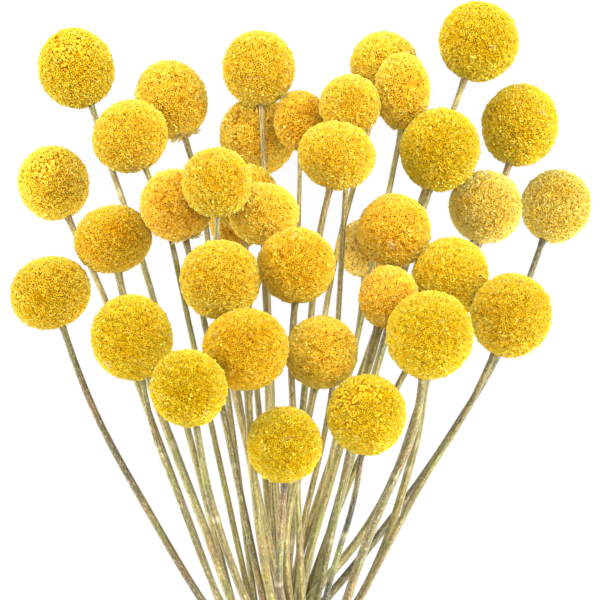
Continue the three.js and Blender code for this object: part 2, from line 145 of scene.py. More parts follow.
def new_group(name: str, inputs: dict[str, tuple], outputs: dict[str, tuple]) -> tuple[NodeTree, Any]:
    """Start a Geometry Nodes tree with named inputs and outputs.

    Args:
        name: The tree's name.
        inputs: The names of its inputs, by their kind, such as Float or Material.
        outputs: The names of its outputs, by their kind.

    Returns:
        The tree, and the sockets that give its inputs.
    """
    tree = bpy.data.node_groups.new(name, "GeometryNodeTree")
    for side, kinds in (("INPUT", inputs), ("OUTPUT", outputs)):
        for kind, labels in kinds.items():
            for label in labels:
                tree.interface.new_socket(label, in_out=side, socket_type=f"NodeSocket{kind}")
    return tree, tree.nodes.new("NodeGroupInput").outputs


def new_material(name: str) -> tuple[Material, NodeTree, Node]:
    """Start a material.

    Args:
        name: Its name.

    Returns:
        The material, its tree and the one shader in it.
    """
    material = bpy.data.materials.new(name)
    material.use_nodes = True
    return material, material.node_tree, material.node_tree.nodes["Principled BSDF"]


def lumps(tree: NodeTree, place: Any, size: Any, detail: float, height: Any) -> Node:
    """Add the nodes of a soft random relief, half of it raised and half of it sunk.

    Args:
        tree: The tree that gets the nodes.
        place: Where the relief is read.
        size: How wide a lump is.
        detail: How many times finer lumps are laid over it.
        height: How far the relief goes from its lowest to its highest.

    Returns:
        The node that gives the height at the place.
    """
    scale = add(tree, "ShaderNodeMath", (1.0, size), operation="DIVIDE")
    noise = add(tree, "ShaderNodeTexNoise", {"Vector": place, "Scale": scale, "Detail": detail})
    lump = add(tree, "ShaderNodeMath", (noise, 0.5), operation="SUBTRACT")
    return add(tree, "ShaderNodeMath", (lump, height), operation="MULTIPLY")


def on_circle(tree: NodeTree, radius: Any, turn: Any) -> list[Node]:
    """Add the nodes of a place on a circle.

    Args:
        tree: The tree that gets the nodes.
        radius: The circle's radius.
        turn: The place's angle.

    Returns:
        The nodes that give its two coordinates.
    """
    waves = [add(tree, "ShaderNodeMath", (turn,), operation=wave) for wave in ("COSINE", "SINE")]
    return [add(tree, "ShaderNodeMath", (radius, wave), operation="MULTIPLY") for wave in waves]


def turned(tree: NodeTree, rotation: Any, angles: Any) -> Node:
    """Add the nodes that turn a rotation further, about its own axes.

    Args:
        tree: The tree that gets the nodes.
        rotation: The rotation so far.
        angles: The angles about its three axes.

    Returns:
        The node that gives the new rotation.
    """
    further = add(tree, "FunctionNodeEulerToRotation", (angles,))
    return add(tree, "FunctionNodeRotateRotation", (rotation, further), rotation_space="LOCAL")


def swayed(tree: NodeTree, rotation: Any, lean: float, seed: Draw) -> Node:
    """Add the nodes that spin each copy about its axis and lean it, both at random.

    Args:
        tree: The tree that gets the nodes.
        rotation: The copies' rotation so far.
        lean: The most that a copy leans.
        seed: The seed of the draw.

    Returns:
        The node that gives the new rotation.
    """
    span = {"Min": (-lean, -lean, -math.pi), "Max": (lean, lean, math.pi)}
    angles = add(tree, "FunctionNodeRandomValue", {**span, "Seed": seed}, data_type="FLOAT_VECTOR")
    return turned(tree, rotation, angles)


def mark(mesh: Mesh, name: str, domain: str, numbers: Sequence[float]) -> None:
    """Give each point or face of a mesh a number."""
    mesh.attributes.new(name, "FLOAT", domain).data.foreach_set("value", numbers)


def new_mesh(name: str, corners: Sequence, edges: Sequence = (), faces: Sequence = ()) -> Mesh:
    """Make a mesh.

    Args:
        name: Its name.
        corners: The places of its corners.
        edges: The two corners of each loose edge.
        faces: The corners of each face.

    Returns:
        The mesh.
    """
    mesh = bpy.data.meshes.new(name)
    mesh.from_pydata(corners, edges, faces)
    return mesh


def placed(name: str, data: bpy.types.ID) -> Object:
    """Put a mesh, a camera or a lamp into the scene.

    Args:
        name: The name of its object.
        data: The mesh, camera or lamp.

    Returns:
        The object.
    """
    thing = bpy.data.objects.new(name, data)
    bpy.context.scene.collection.objects.link(thing)
    return thing


def grow(name: str, tree: NodeTree, source: Mesh, values: dict[str, Any]) -> Object:
    """Run a Geometry Nodes tree on a mesh and keep its result as a plain piece.

    Args:
        name: The piece's name.
        tree: The tree to run.
        source: The mesh that the tree starts from.
        values: The value of each named input of the tree.

    Returns:
        The piece, with no modifier left on it.
    """
    carrier = placed(f"{name}_source", source)
    modifier = carrier.modifiers.new("Grow", "NODES")
    modifier.node_group = tree
    for item in tree.interface.items_tree:
        if item.in_out == "INPUT" and item.name in values:
            modifier[item.identifier] = values[item.name]
    graph = bpy.context.evaluated_depsgraph_get()
    evaluated = carrier.evaluated_get(graph)
    mesh = bpy.data.meshes.new_from_object(evaluated, preserve_all_data_layers=True, depsgraph=graph)
    bpy.data.objects.remove(carrier)
    mesh.name = name
    return placed(name, mesh)


def sizes_of(part: Any, *names: str) -> dict[str, Any]:
    """Read a part's sizes under the names that its tree's inputs have."""
    return {name: getattr(part, name.lower().replace(" ", "_")) for name in names}


def settle(piece: Object, slot: str, *nodes: str) -> None:
    """Let a finished piece ride on the bunch in the place of its solids, and report it.

    Args:
        piece: The finished piece.
        slot: The record's material slot, which is not used.
        nodes: The solids that it stands for.
    """
    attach(piece, BODY)
    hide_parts(*nodes)
    faces = sum(len(polygon.vertices) - 2 for polygon in piece.data.polygons)
    log.info("%s: %d triangles, in place of %s", piece.name, faces, ", ".join(nodes))


# ---------------------------------------------------------------- points and lines


def unit(vector: np.ndarray) -> np.ndarray:
    """Give a vector the length 1."""
    return vector / np.linalg.norm(vector)


def softened(rows: np.ndarray) -> np.ndarray:
    """Draw each row of numbers toward its two neighbours, apart from the first and the last."""
    return np.concatenate([rows[:1], (rows[:-2] + 2 * rows[1:-1] + rows[2:]) / 4, rows[-1:]])


def lengths_to(points: np.ndarray) -> np.ndarray:
    """Measure how far along a line each of its points lies."""
    return np.concatenate([[0], np.cumsum(np.linalg.norm(np.diff(points, axis=0), axis=1))])


def at_lengths(wanted: np.ndarray, lengths: np.ndarray, points: np.ndarray) -> np.ndarray:
    """Find the places at the wanted lengths along a line."""
    return np.column_stack([np.interp(wanted, lengths, column) for column in points.T])


def chained(count: int) -> list[tuple[int, int]]:
    """List the edges that join so many points in a row."""
    return [(i, i + 1) for i in range(count - 1)]


def welded(node: str) -> tuple[np.ndarray, np.ndarray]:
    """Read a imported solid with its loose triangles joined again.

    Args:
        node: The solid's name.

    Returns:
        Its corners, and the three corners of each triangle.
    """
    mesh = frame["nodes"][node].data
    mesh.calc_loop_triangles()
    points = np.array([vertex.co for vertex in mesh.vertices])
    triangles = np.array([triangle.vertices for triangle in mesh.loop_triangles])
    points, places = np.unique(np.round(points, WELD_DIGITS), axis=0, return_inverse=True)
    return points, places.reshape(-1)[triangles]


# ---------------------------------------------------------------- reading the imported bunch


@dataclass
class StemTrack:
    """A stem that is being followed along the bunch, cut by cut, from its head."""

    number: int
    points: list[np.ndarray]
    slope: np.ndarray
    radii: list[float] = field(default_factory=list)
    ended: bool = False

    def guess(self, level: float) -> np.ndarray:
        """Say where the stem should cross a level if it goes on as it went."""
        last = self.points[-1]
        return last + self.slope * (level - last[1])

    def go_on(self, place: np.ndarray, radius: float) -> None:
        """Add the stem's next place.

        Args:
            place: The middle of the stem in the next cut.
            radius: Its half thickness there.
        """
        last = self.points[-1]
        if self.radii:
            self.slope = (self.slope + (place - last) / (place[1] - last[1])) / 2
        self.points.append(place)
        self.radii.append(radius)


@dataclass(frozen=True)
class StemRun:
    """The middle line of one packed stem, from its cut end to its head."""

    SIDES = 5  # the corners of a packed stem's end face
    STEP = 4 * MM  # from one cut to the next
    REACH = 6 * MM  # how far off its course a stem is taken to have ended instead
    WHOLE = 0.7  # the share of its last thickness under which a stem has ended
    JOINED_WITHIN = 24 * MM  # how far from the tie two stems may be pressed together

    number: int
    points: np.ndarray
    radii: np.ndarray

    @staticmethod
    def sections(points: np.ndarray, triangles: np.ndarray, level: float) -> list[np.ndarray]:
        """Cut the stems of a solid across at one place along the bunch.

        Args:
            points: The solid's corners.
            triangles: The corners of its triangles.
            level: Where the cut lies along Y.

        Returns:
            The points of each closed outline in the cut.
        """
        above = points[:, 1] > level
        outlines: list[dict[tuple[int, int], np.ndarray]] = []
        for triangle in triangles[np.isin(above[triangles].sum(axis=1), (1, 2))]:
            high = [corner for corner in triangle if above[corner]]
            low = [corner for corner in triangle if not above[corner]]
            crossings = {}
            for edge in ((int(a), int(b)) for a in high for b in low):
                top, bottom = points[edge[0]], points[edge[1]]
                share = (level - bottom[1]) / (top[1] - bottom[1])
                crossings[edge] = bottom + share * (top - bottom)
            touched = [outline for outline in outlines if outline.keys() & crossings.keys()]
            outlines = [outline for outline in outlines if not outline.keys() & crossings.keys()]
            for outline in touched:
                crossings.update(outline)
            outlines.append(crossings)
        return [np.array(list(outline.values())) for outline in outlines]

    @classmethod
    def end_face(cls, points: np.ndarray, near: np.ndarray) -> np.ndarray:
        """Find the middle of the end face of a stem that lies nearest to a place."""
        distances = np.linalg.norm(points - near, axis=1)
        return points[np.argsort(distances)[: cls.SIDES]].mean(axis=0)

    @classmethod
    def read(cls, node: str, waist: float) -> "list[StemRun]":
        """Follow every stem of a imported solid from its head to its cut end.

        Args:
            node: The solid's name, which ends in the numbers of its heads.
            waist: Where the tie lies along Y.

        Returns:
            One run for each stem.
        """
        points, triangles = welded(node)
        tracks = []
        for number in (int(part) for part in node.split("_")[1:]):
            low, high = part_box(f"head_{number:02d}")
            middle = np.array((low + high) / 2)
            top = cls.end_face(points, middle)
            tracks.append(StemTrack(number, [top], (middle - top) / (middle[1] - top[1])))
        level = max(track.points[0][1] for track in tracks) - cls.STEP / 2
        lowest = points[:, 1].min()
        while level > lowest:
            cls.follow(tracks, cls.sections(points, triangles, level), level, waist)
            level -= cls.STEP
        runs = []
        for track in tracks:
            last = track.points[-1]
            line = np.array([*track.points, cls.end_face(points, track.guess(last[1] - cls.STEP / 2))])
            radii = np.array([track.radii[0], *track.radii, track.radii[-1]])
            runs.append(cls(track.number, line[::-1], radii[::-1]))
        return runs

    @classmethod
    def follow(cls, tracks: list[StemTrack], cuts: list[np.ndarray], level: float, waist: float) -> None:
        """Add the place of each stem in one cut to the stem's track.

        Args:
            tracks: The stems followed so far.
            cuts: The outlines in the cut.
            level: Where the cut lies along Y.
            waist: Where the tie lies along Y.
        """
        active = [track for track in tracks if track.points[0][1] > level and not track.ended]
        found = [(cut.mean(axis=0), cls.half_thickness(cut)) for cut in cuts]
        if len(active) > len(found) == 1 and abs(level - waist) < cls.JOINED_WITHIN:
            found = cls.split(cuts[0], [track.radii[-1] for track in active])
        choices = permutations([*found, *[None] * len(active)], len(active))
        best = min(choices, key=lambda choice: cls.strain(active, choice, level))
        for track, place in zip(active, best):
            if place is None or track.radii and place[1] < cls.WHOLE * track.radii[-1]:
                track.ended = True
            else:
                track.go_on(*place)

    @classmethod
    def strain(cls, tracks: list[StemTrack], choice: tuple, level: float) -> float:
        """Say how badly a choice of places fits the stems, where a stem may also have ended.

        Args:
            tracks: The stems.
            choice: A place and a half thickness for each stem, or None for one that has ended.
            level: Where the cut lies along Y.

        Returns:
            How far the places lie off the stems' courses, in all.
        """
        return sum(
            cls.REACH if place is None else float(np.linalg.norm(place[0] - track.guess(level)))
            for track, place in zip(tracks, choice)
        )

    @staticmethod
    def half_thickness(cut: np.ndarray) -> float:
        """Measure the mean distance of an outline's points from its middle."""
        return float(np.linalg.norm(cut - cut.mean(axis=0), axis=1).mean())

    @staticmethod
    def split(cut: np.ndarray, radii: list[float]) -> list[tuple[np.ndarray, float]]:
        """Part the outline of two stems that are pressed together.

        Args:
            cut: The points of their common outline.
            radii: Their half thicknesses.

        Returns:
            The middle and the half thickness of each of the two.
        """
        radius = float(np.mean(radii))
        middle = cut.mean(axis=0)
        axis = np.linalg.svd(cut - middle)[2][0]
        reach = (cut - middle) @ axis
        ends = (reach.min() + radius, reach.max() - radius)
        return [(middle + axis * end, radius) for end in ends]


@dataclass(frozen=True)
class HeadForm:
    """The egg-shaped outline of one packed head."""

    ROUNDS = 24  # the steps of the fit
    SETTLED = 6  # the steps before points are left out of it
    CREASED = 0.01  # how far inside the outline a point has to lie to be left out, as a share
    SMALL_STEP = 0.001 * MM  # the change of a size that gives the fit's slopes
    FLAT_WITHIN = 0.3 * MM  # how far from a flat its points may lie

    number: int
    centre: np.ndarray
    down: np.ndarray
    half_width: float
    half_length: float
    rests: bool

    @classmethod
    def read(cls, number: int, stem_top: np.ndarray) -> "HeadForm":
        """Fit an ellipsoid to the tips of a packed head, with its axis toward its stem.

        Args:
            number: The head's number.
            stem_top: Where its stem ends.

        Returns:
            The fitted outline.
        """
        tips = cls.tips(f"head_{number:02d}", stem_top)
        low, high = tips.min(axis=0), tips.max(axis=0)
        reach = float((high - low).mean() / 2)
        sizes = np.array([*(low + high) / 2, reach, reach])
        for turn in range(cls.ROUNDS):
            away = cls.outside(tips, sizes, stem_top)
            if turn > cls.SETTLED and away.min() < -cls.CREASED:
                tips = tips[away > away.min()]
                away = away[away > away.min()]
            steps = np.eye(len(sizes)) * cls.SMALL_STEP
            slopes = [(cls.outside(tips, sizes + step, stem_top) - away) / cls.SMALL_STEP for step in steps]
            sizes = sizes - np.linalg.lstsq(np.column_stack(slopes), away, rcond=None)[0]
        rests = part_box(f"head_{number:02d}")[0][2] < cls.FLAT_WITHIN
        centre = sizes[:3]
        return cls(number, centre, unit(stem_top - centre), float(sizes[3]), float(sizes[4]), bool(rests))

    @classmethod
    def tips(cls, node: str, stem_top: np.ndarray) -> np.ndarray:
        """Find a packed head's outermost points, apart from those on its seat and its pressed side.

        Args:
            node: The solid's name.
            stem_top: Where its stem ends.

        Returns:
            The points.
        """
        points, _ = welded(node)
        shell = bmesh.new()
        corners = [shell.verts.new(point) for point in points]
        bmesh.ops.convex_hull(shell, input=corners)
        outer = np.array([corner.co for corner in corners if corner.link_faces])
        shell.free()
        low, high = outer.min(axis=0), outer.max(axis=0)
        along = outer @ unit(stem_top - (low + high) / 2)
        free = along < along.max() - cls.FLAT_WITHIN
        if low[2] < cls.FLAT_WITHIN:
            free &= outer[:, 2] > low[2] + cls.FLAT_WITHIN
        return outer[free]

    @staticmethod
    def outside(points: np.ndarray, sizes: np.ndarray, stem_top: np.ndarray) -> np.ndarray:
        """Say how far points lie outside an ellipsoid.

        Args:
            points: The points.
            sizes: The ellipsoid's middle, its half width and its half length.
            stem_top: Where its axis points.

        Returns:
            The distances, as a share of its size, which are negative inside.
        """
        offsets = points - sizes[:3]
        along = offsets @ unit(stem_top - sizes[:3])
        across = np.maximum((offsets**2).sum(axis=1) - along**2, 0)
        return np.sqrt(across / sizes[3] ** 2 + along**2 / sizes[4] ** 2) - 1


# ---------------------------------------------------------------- finishes


@dataclass(frozen=True)
class FloretFinish:
    """Dried florets: matte, faintly translucent yellow, ochre in the creases, partly painted shade, and
    pale at the tips.

    A span says from where to where a pattern counts, and the least and the most that it does.
    """

    name: str
    tip: str
    body: str
    crease: str
    warm: str
    pale: str
    fleck: str = "#FFEDB0"
    stops: tuple[float, float, float] = (0.2, 0.45, 0.95)  # where crease, body and tip colours lie
    patch_size: float = 7 * MM
    grain_size: float = 0.4 * MM
    fleck_size: float = 5 * MM
    grain: float = 0.6
    # painted light on the florets' outer sides, which shows as bright rims round the heads
    painted_light_on_sides: float = 0.9
    # painted shade in the nooks between the clusters
    nook_painted_shade: float = 0.4
    warm_span: tuple[float, ...] = (0.45, 0.7, 0.0, 0.55)
    pale_span: tuple[float, ...] = (0.8, 1.0, 0.0, 0.15)
    fleck_span: tuple[float, ...] = (0.68, 0.8, 0.0, 0.4)
    shade_span: tuple[float, ...] = (0.0, 1.0, 0.82, 0.97)
    # painted light: a head that is painted darker is also painted a little richer in colour
    painted_light_saturation: tuple[float, float] = (-0.15, 1.14)  # how the colour's depth follows the head's tone

    def build(self) -> Material:
        """Make the material.

        It reads how near a tip a point is, each floret's own number, how deep it stands between two
        clusters, its head's painted light, and which faces may be pale.

        Returns:
            The material.
        """
        material, tree, shader = new_material(self.name)
        tip, own, nook, tone, outer = (
            add(tree, "ShaderNodeAttribute", attribute_name=name).outputs["Fac"]
            for name in ("tip", "own", "nook", "tone", "outer")
        )
        place = add(tree, "ShaderNodeTexCoord").outputs["Object"]
        patches, grain, spots = (
            add(tree, "ShaderNodeTexNoise", {"Vector": place, "Scale": 1 / size, "Detail": detail})
            for size, detail in ((self.patch_size, 3.0), (self.grain_size, 2.0), (self.fleck_size, 1.0))
        )

        # ochre in the creases, partly the florets' own colour and partly painted shade, painted shade in
        # the nooks between the clusters, and yellow toward the tips
        lowered = add(tree, "ShaderNodeMath", (tip, self.grain / 2), operation="SUBTRACT")
        shaded = add(tree, "ShaderNodeMath", (nook, -self.nook_painted_shade, lowered), operation="MULTIPLY_ADD")
        grainy = add(tree, "ShaderNodeMath", (grain, self.grain, shaded), operation="MULTIPLY_ADD")
        ramp = add(tree, "ShaderNodeValToRGB", (grainy,))
        first, last = ramp.color_ramp.elements
        first.position, middle, last.position = self.stops
        first.color = linear(self.crease)
        last.color = linear(self.tip)
        ramp.color_ramp.elements.new(middle).color = linear(self.body)

        # warm patches, pale florets, painted light on the florets' outer sides near their tips, which
        # brightens the heads' rims, and pale flecks
        values = (patches, own, spots, own)
        spans = (self.warm_span, self.pale_span, self.fleck_span, self.shade_span)
        warmth, some, spotted, shade = (
            add(tree, "ShaderNodeMapRange", (value, *span)) for value, span in zip(values, spans)
        )
        upper = add(tree, "ShaderNodeMath", (outer, tip), operation="MULTIPLY")
        sides = add(tree, "ShaderNodeMath", (upper, self.painted_light_on_sides), operation="MULTIPLY")
        paleness = add(tree, "ShaderNodeMath", (some, sides), operation="MAXIMUM")
        colour = ramp
        for amount, layer in ((warmth, self.warm), (paleness, self.pale), (spotted, self.fleck)):
            colour = add(tree, "ShaderNodeMix", (amount, colour, linear(layer)), data_type="RGBA")

        # each floret's own random shade, and its head's painted light
        toned = add(tree, "ShaderNodeMath", (shade, tone), operation="MULTIPLY")
        depth = add(tree, "ShaderNodeMath", (tone, *self.painted_light_saturation), operation="MULTIPLY_ADD")
        own_tone = {"Saturation": depth, "Value": toned, "Color": colour}
        bumps = {"Height": grain, "Strength": 0.35, "Distance": 0.1 * MM}
        surface = {
            "Base Color": add(tree, "ShaderNodeHueSaturation", own_tone),
            "Normal": add(tree, "ShaderNodeBump", bumps),
            "Roughness": 0.7,
            "Specular IOR Level": 0.0,
            "Subsurface Weight": 0.2,
            "Subsurface Radius": (1.0, 0.6, 0.1),
            "Subsurface Scale": 0.9 * MM,
            "Sheen Weight": 0.08,
            "Sheen Roughness": 0.25,
            "Sheen Tint": linear(self.pale),
        }
        feed(shader, surface)
        return material


@dataclass(frozen=True)
class StemFinish:
    """Dried herb stem: matte, with long streaks, soft blotches, woolly flecks and small dark scars.

    Each grain is given as its size across and along the stem.
    """

    name: str
    base: str
    wool: float
    scars: float = 0.7
    streak: tuple[float, float] = (0.7 * MM, 6 * MM)
    fleck: tuple[float, float] = (0.45 * MM, 1.1 * MM)
    blotch: tuple[float, float] = (12 * MM, 24 * MM)
    blush: str = "#946A30"
    sap: str = "#868A3A"
    wool_colour: str = "#C8C09E"
    scar_colour: str = "#42331A"
    joint_colour: str = "#C0B48E"
    pith: str = "#D2C7A4"

    def build(self) -> Material:
        """Make the material.

        It reads where a point would be on a straightened stem, the grooves, which it paints with shade, the
        joints and the cut.

        Returns:
            The material.
        """
        material, tree, shader = new_material(self.name)
        place, groove, joint, cut = (
            add(tree, "ShaderNodeAttribute", attribute_name=name)
            for name in ("straight", "groove", "joint", "cut")
        )
        noises = []
        for across, along in (self.streak, self.fleck, self.blotch):
            squeeze = {"Vector": place.outputs["Vector"], "Scale": (1 / across, 1 / across, 1 / along)}
            grain = add(tree, "ShaderNodeMapping", squeeze)
            noises.append(add(tree, "ShaderNodeTexNoise", {"Vector": grain, "Scale": 1.0, "Detail": 3.0}))
        streaks, flecks, blotches = noises
        blotch = add(tree, "ShaderNodeSeparateColor", (blotches.outputs["Color"],))

        # what each layer follows, where it starts and where it is full, the most it covers, its colour
        layers = (
            (blotch.outputs["Green"], 0.52, 0.68, 0.5, self.blush),
            (blotch.outputs["Blue"], 0.5, 0.66, 0.6, self.sap),
            (flecks, 0.52, 0.66, self.wool, self.wool_colour),
            (flecks, 0.43, 0.33, self.scars, self.scar_colour),
            (joint.outputs["Fac"], 0.3, 0.9, 0.5, self.joint_colour),
            (cut.outputs["Fac"], 0.0, 1.0, 1.0, self.pith),
        )
        colour: Any = linear(self.base)
        for value, start, full, most, layer in layers:
            amount = add(tree, "ShaderNodeMapRange", (value, start, full, 0.0, most))
            colour = add(tree, "ShaderNodeMix", (amount, colour, linear(layer)), data_type="RGBA")

        # what each shade follows, from where to where, and the brightness at these two; streaks and
        # blotches are the stem's own, the grooves get painted shade and the ridges painted light
        shades = (
            (streaks, 0.32, 0.68, 0.62, 1.34),
            (blotch, 0.3, 0.7, 0.8, 1.2),
            (groove.outputs["Fac"], 0.0, 1.0, 1.1, 0.64),
        )
        for shade in shades:
            amount = add(tree, "ShaderNodeMapRange", shade)
            colour = add(tree, "ShaderNodeHueSaturation", {"Value": amount, "Color": colour})
        relief = add(tree, "ShaderNodeMath", (streaks, flecks), operation="ADD")
        bumps = {"Height": relief, "Strength": 0.7, "Distance": 0.2 * MM}
        surface = {
            "Base Color": colour,
            "Roughness": add(tree, "ShaderNodeMapRange", {"Value": streaks, "To Min": 0.65, "To Max": 0.9}),
            "Normal": add(tree, "ShaderNodeBump", bumps),
            "Specular IOR Level": 0.3,
            "Sheen Weight": 0.3,
            "Sheen Roughness": 0.6,
        }
        feed(shader, surface)
        return material


@dataclass(frozen=True)
class PlantFinish:
    """Woody, papery or fibrous plant stuff in two mottled tones: matte, with a fine relief."""

    name: str
    light: str
    dark: str
    grain_size: float
    relief: float
    relief_depth: float
    roughness: float = 0.9
    gloss: float = 0.5
    sheen: float = 0.3

    def build(self) -> Material:
        """Make the material.

        Returns:
            The material.
        """
        material, tree, shader = new_material(self.name)
        place = add(tree, "ShaderNodeTexCoord").outputs["Object"]
        mottling = {"Vector": place, "Scale": 1 / self.grain_size, "Detail": 3.0}
        grain = add(tree, "ShaderNodeTexNoise", mottling)
        tones = (grain, linear(self.dark), linear(self.light))
        bumps = {"Height": grain, "Strength": self.relief, "Distance": self.relief_depth}
        surface = {
            "Base Color": add(tree, "ShaderNodeMix", tones, data_type="RGBA"),
            "Normal": add(tree, "ShaderNodeBump", bumps),
            "Roughness": self.roughness,
            "Specular IOR Level": self.gloss,
            "Sheen Weight": self.sheen,
        }
        feed(shader, surface)
        return material


# the woody bed of a head: dull ochre, darker than the florets, which paints the shade deep in the gaps
# between them, yet warm
RECEPTACLE = PlantFinish(
    "woody_receptacle", "#D8960A", "#AE6802", 0.8 * MM, 0.5, 0.2 * MM, roughness=0.95, gloss=0.05, sheen=0.0
)
# papery bracts: yellowish green, a dry frill where the head meets its stem
BRACT_PAPER = PlantFinish("papery_bract", "#D6C64E", "#A8943A", 0.4 * MM, 0.7, 0.15 * MM)
# jute: pale brown and hairy, with dark lines between its twisted strands
JUTE = PlantFinish("jute_twine", "#D9BE8C", "#8F6E3E", 0.25 * MM, 0.7, 0.15 * MM)


@dataclass(frozen=True)
class TableFinish:
    """A smooth, matte table that glows nearly white, so that the eye sees only faint shadows on it."""

    name: str = "matte_white_table"
    colour: str = "#484848"
    glow_colour: str = "#FCFDFF"
    glow: float = 0.93

    def build(self) -> Material:
        """Make the material.

        Returns:
            The material.
        """
        material, _, shader = new_material(self.name)
        surface = {
            "Base Color": linear(self.colour),
            "Roughness": 0.9,
            "Specular IOR Level": 0.1,
            "Emission Color": linear(self.glow_colour),
            "Emission Strength": self.glow,
        }
        feed(shader, surface)
        return material


# ---------------------------------------------------------------- flower heads


class Tint(Enum):
    """The four tones of dried head, by the record's material slot."""

    LEMON = "florets_lemon"
    GOLDEN = "florets_golden"
    AMBER = "florets_amber"
    STRAW = "florets_straw"


# the tip, body, crease, warm and pale colours of dried florets, which look dull, soft and powdery; the
# crease colour is partly painted shade, and the pale one also gives the painted light on the florets' sides
FLORET_FINISHES = {
    tint: FloretFinish(f"dried_{tint.value}", *colours)
    for tint, colours in {
        Tint.LEMON: ("#FEDF48", "#F4C10E", "#A87004", "#EEB60C", "#FFEF6C"),
        Tint.GOLDEN: ("#FEDD4E", "#F6BE10", "#A86C04", "#EEAF0E", "#FFEB70"),
        Tint.AMBER: ("#FEDA4A", "#F6B70E", "#9E6204", "#EEA50C", "#FFE266"),
        Tint.STRAW: ("#FEE57A", "#FCD144", "#AA7418", "#F2BF36", "#FFF296"),
    }.items()
}

# painted light: each head painted brighter where others shade it and darker on top, by the heads' numbers
HEAD_PAINTED_LIGHT = {
    1.12: (5, 27),
    0.74: (34, 36),
    0.78: (11, 16, 23, 25, 30, 31, 33, 35, 37),
    0.83: (1, 7, 10, 12, 13, 17, 24),
    0.87: (2, 4, 20, 22, 28),
    0.93: (3, 14, 19, 21, 26, 32),
}


@dataclass
class FlowerHeads:
    """The globes of tightly packed florets, one on each stem.

    The florets' own shapes are given in times their pitch.
    """

    # the sizes that a head's outline and the spread of its florets depend on
    FORM = ("Half width", "Half length", "Lump height", "Lump size", "Cluster depth", "Cluster size")
    SPREAD = ("Half width", "Half length", "Pitch", "Unevenness", "Seed")
    LUMP_DETAIL = 1.0
    HEXAGON = math.sqrt(3) / 2  # the room of one floret, in times its pitch squared
    OPEN = ((0.74, 0.28, 0.8), (0.7, 0.42, 0.95), (0.76, 0.18, 0.7))  # radius, rise of the tips, depth
    CLOSED = ((0.54, 0.4), (0.6, 0.26))  # radius, height
    LOBES = 4  # of an open floret
    SIDES = 7  # of a closed one
    SHOULDER = -0.3  # where a closed one is widest
    FOOT = -1.2  # how far down a floret's foot reaches
    # how near a tip the colours of a lobe, a hollow, a closed top, its shoulder and a foot are
    LOBE_TIP, HOLLOW_TIP, TOP_TIP, SHOULDER_TIP, FOOT_TIP = 1.0, 0.08, 0.72, 0.25, 0.5
    TOP_PALENESS = 0.6  # of a closed floret's top, beside the sides of a floret
    PATTERN_STEP = 0.37  # how far apart the lumps of one head and the next are read
    BUD_SIDE = (-0.5, 0.5, 0.7)  # where the side in bud of a packed head faces
    BUD_PATCHES = 2.2  # patches to a head's radius, which make the edge of that side uneven
    BUD_LEANING = 0.45  # how much the place counts, beside the patches
    BUD_EDGE = 1.42  # more than the two reach, so that a head without budding has no such side
    STEM_SEAT = -0.985  # below this share of its half length a head has no florets
    LEAN = 0.5  # the most that a floret leans, in radians
    WIDTHS = (0.84, 1.34)  # the narrowest and the widest, in times the usual
    BRACT_RING = (0.16, 0.3)  # how far from the stem the bracts stand, in times the half width
    BRACT_SUNK = 0.25 * MM
    FRINGE = {"Bracts": 2, "Bract length": 1.4, "Splay": 2}  # of a fringed head, in times the usual

    forms: list[HeadForm]
    slots: dict[str, str]
    pitch: float = 0.84 * MM
    bud_pitch: float = 1.25 * MM
    unevenness: float = 0.38  # how far a floret stands off its even place, in times the pitch
    raised: float = 0.4 * MM  # the most that a floret stands above the outline
    inset: float = 0.45 * MM  # how deep the core lies under it
    lump_height: float = 0.9 * MM
    lump_size: float = 9 * MM
    cluster_depth: float = 0.5 * MM
    cluster_size: float = 2.0 * MM
    floor_gap: float = 0.04 * MM
    pressed: float = 1.2 * MM  # how far a resting head would reach below the surface
    give: float = 1.6 * MM  # up to what height it gives way instead
    bracts: int = 14
    bract_length: float = 2.6 * MM
    splay: float = 0.25
    budding: dict[int, float] = field(default_factory=lambda: {1: 0.52, 5: 0.46, 6: 0.52, 33: 0.52})
    fringed: tuple[int, ...] = (3, 9)  # the heads with a full fringe of bracts

    def cup(self, radius: float, rise: float, depth: float) -> Object:
        """Make one open floret: four pointed lobes round a hollow, on a foot that is sunk in the core.

        Args:
            radius: From its middle to a lobe's tip.
            rise: How far the tips stand above the outline.
            depth: How far its middle lies below the tips.

        Returns:
            The floret, on no collection of the scene.
        """
        rim = (radius, rise, self.LOBE_TIP)
        return self.closed_cone("open_floret", self.LOBES, rim, (rise - depth, self.HOLLOW_TIP), 0.0)

    def bud(self, radius: float, height: float) -> Object:
        """Make one closed floret, a low dome on a foot.

        Args:
            radius: From its middle to its side.
            height: How far its top stands above the outline.

        Returns:
            The floret, on no collection of the scene.
        """
        rim = (radius, self.SHOULDER, self.SHOULDER_TIP)
        top = (height, self.TOP_TIP)
        return self.closed_cone("closed_floret", self.SIDES, rim, top, self.TOP_PALENESS)

    def closed_cone(
        self, name: str, sides: int, rim: tuple[float, ...], middle: tuple[float, float], paleness: float
    ) -> Object:
        """Make a small closed shape from a rim, a point in its middle and a foot below it.

        Args:
            name: The shape's name.
            sides: The number of points on the rim.
            rim: The rim's radius, its height, and how near a tip it counts.
            middle: The height of the point in the middle, and how near a tip it counts.
            paleness: How much the faces above the rim share the paleness of the outer ones.

        Returns:
            The shape, with the attributes that the florets' finish reads.
        """
        radius, level, rim_tip = rim
        turns = [2 * math.pi * side / sides for side in range(sides)]
        corners = [(radius * math.cos(turn), radius * math.sin(turn), level) for turn in turns]
        corners += [(0, 0, middle[0]), (0, 0, self.FOOT)]
        faces = [(i, (i + 1) % sides, sides) for i in range(sides)]
        faces += [((i + 1) % sides, i, sides + 1) for i in range(sides)]
        mesh = new_mesh(name, corners, faces=faces)
        mark(mesh, "outer", "FACE", [paleness] * sides + [1.0] * sides)
        mark(mesh, "tip", "POINT", [rim_tip] * sides + [middle[1], self.FOOT_TIP])
        return bpy.data.objects.new(name, mesh)

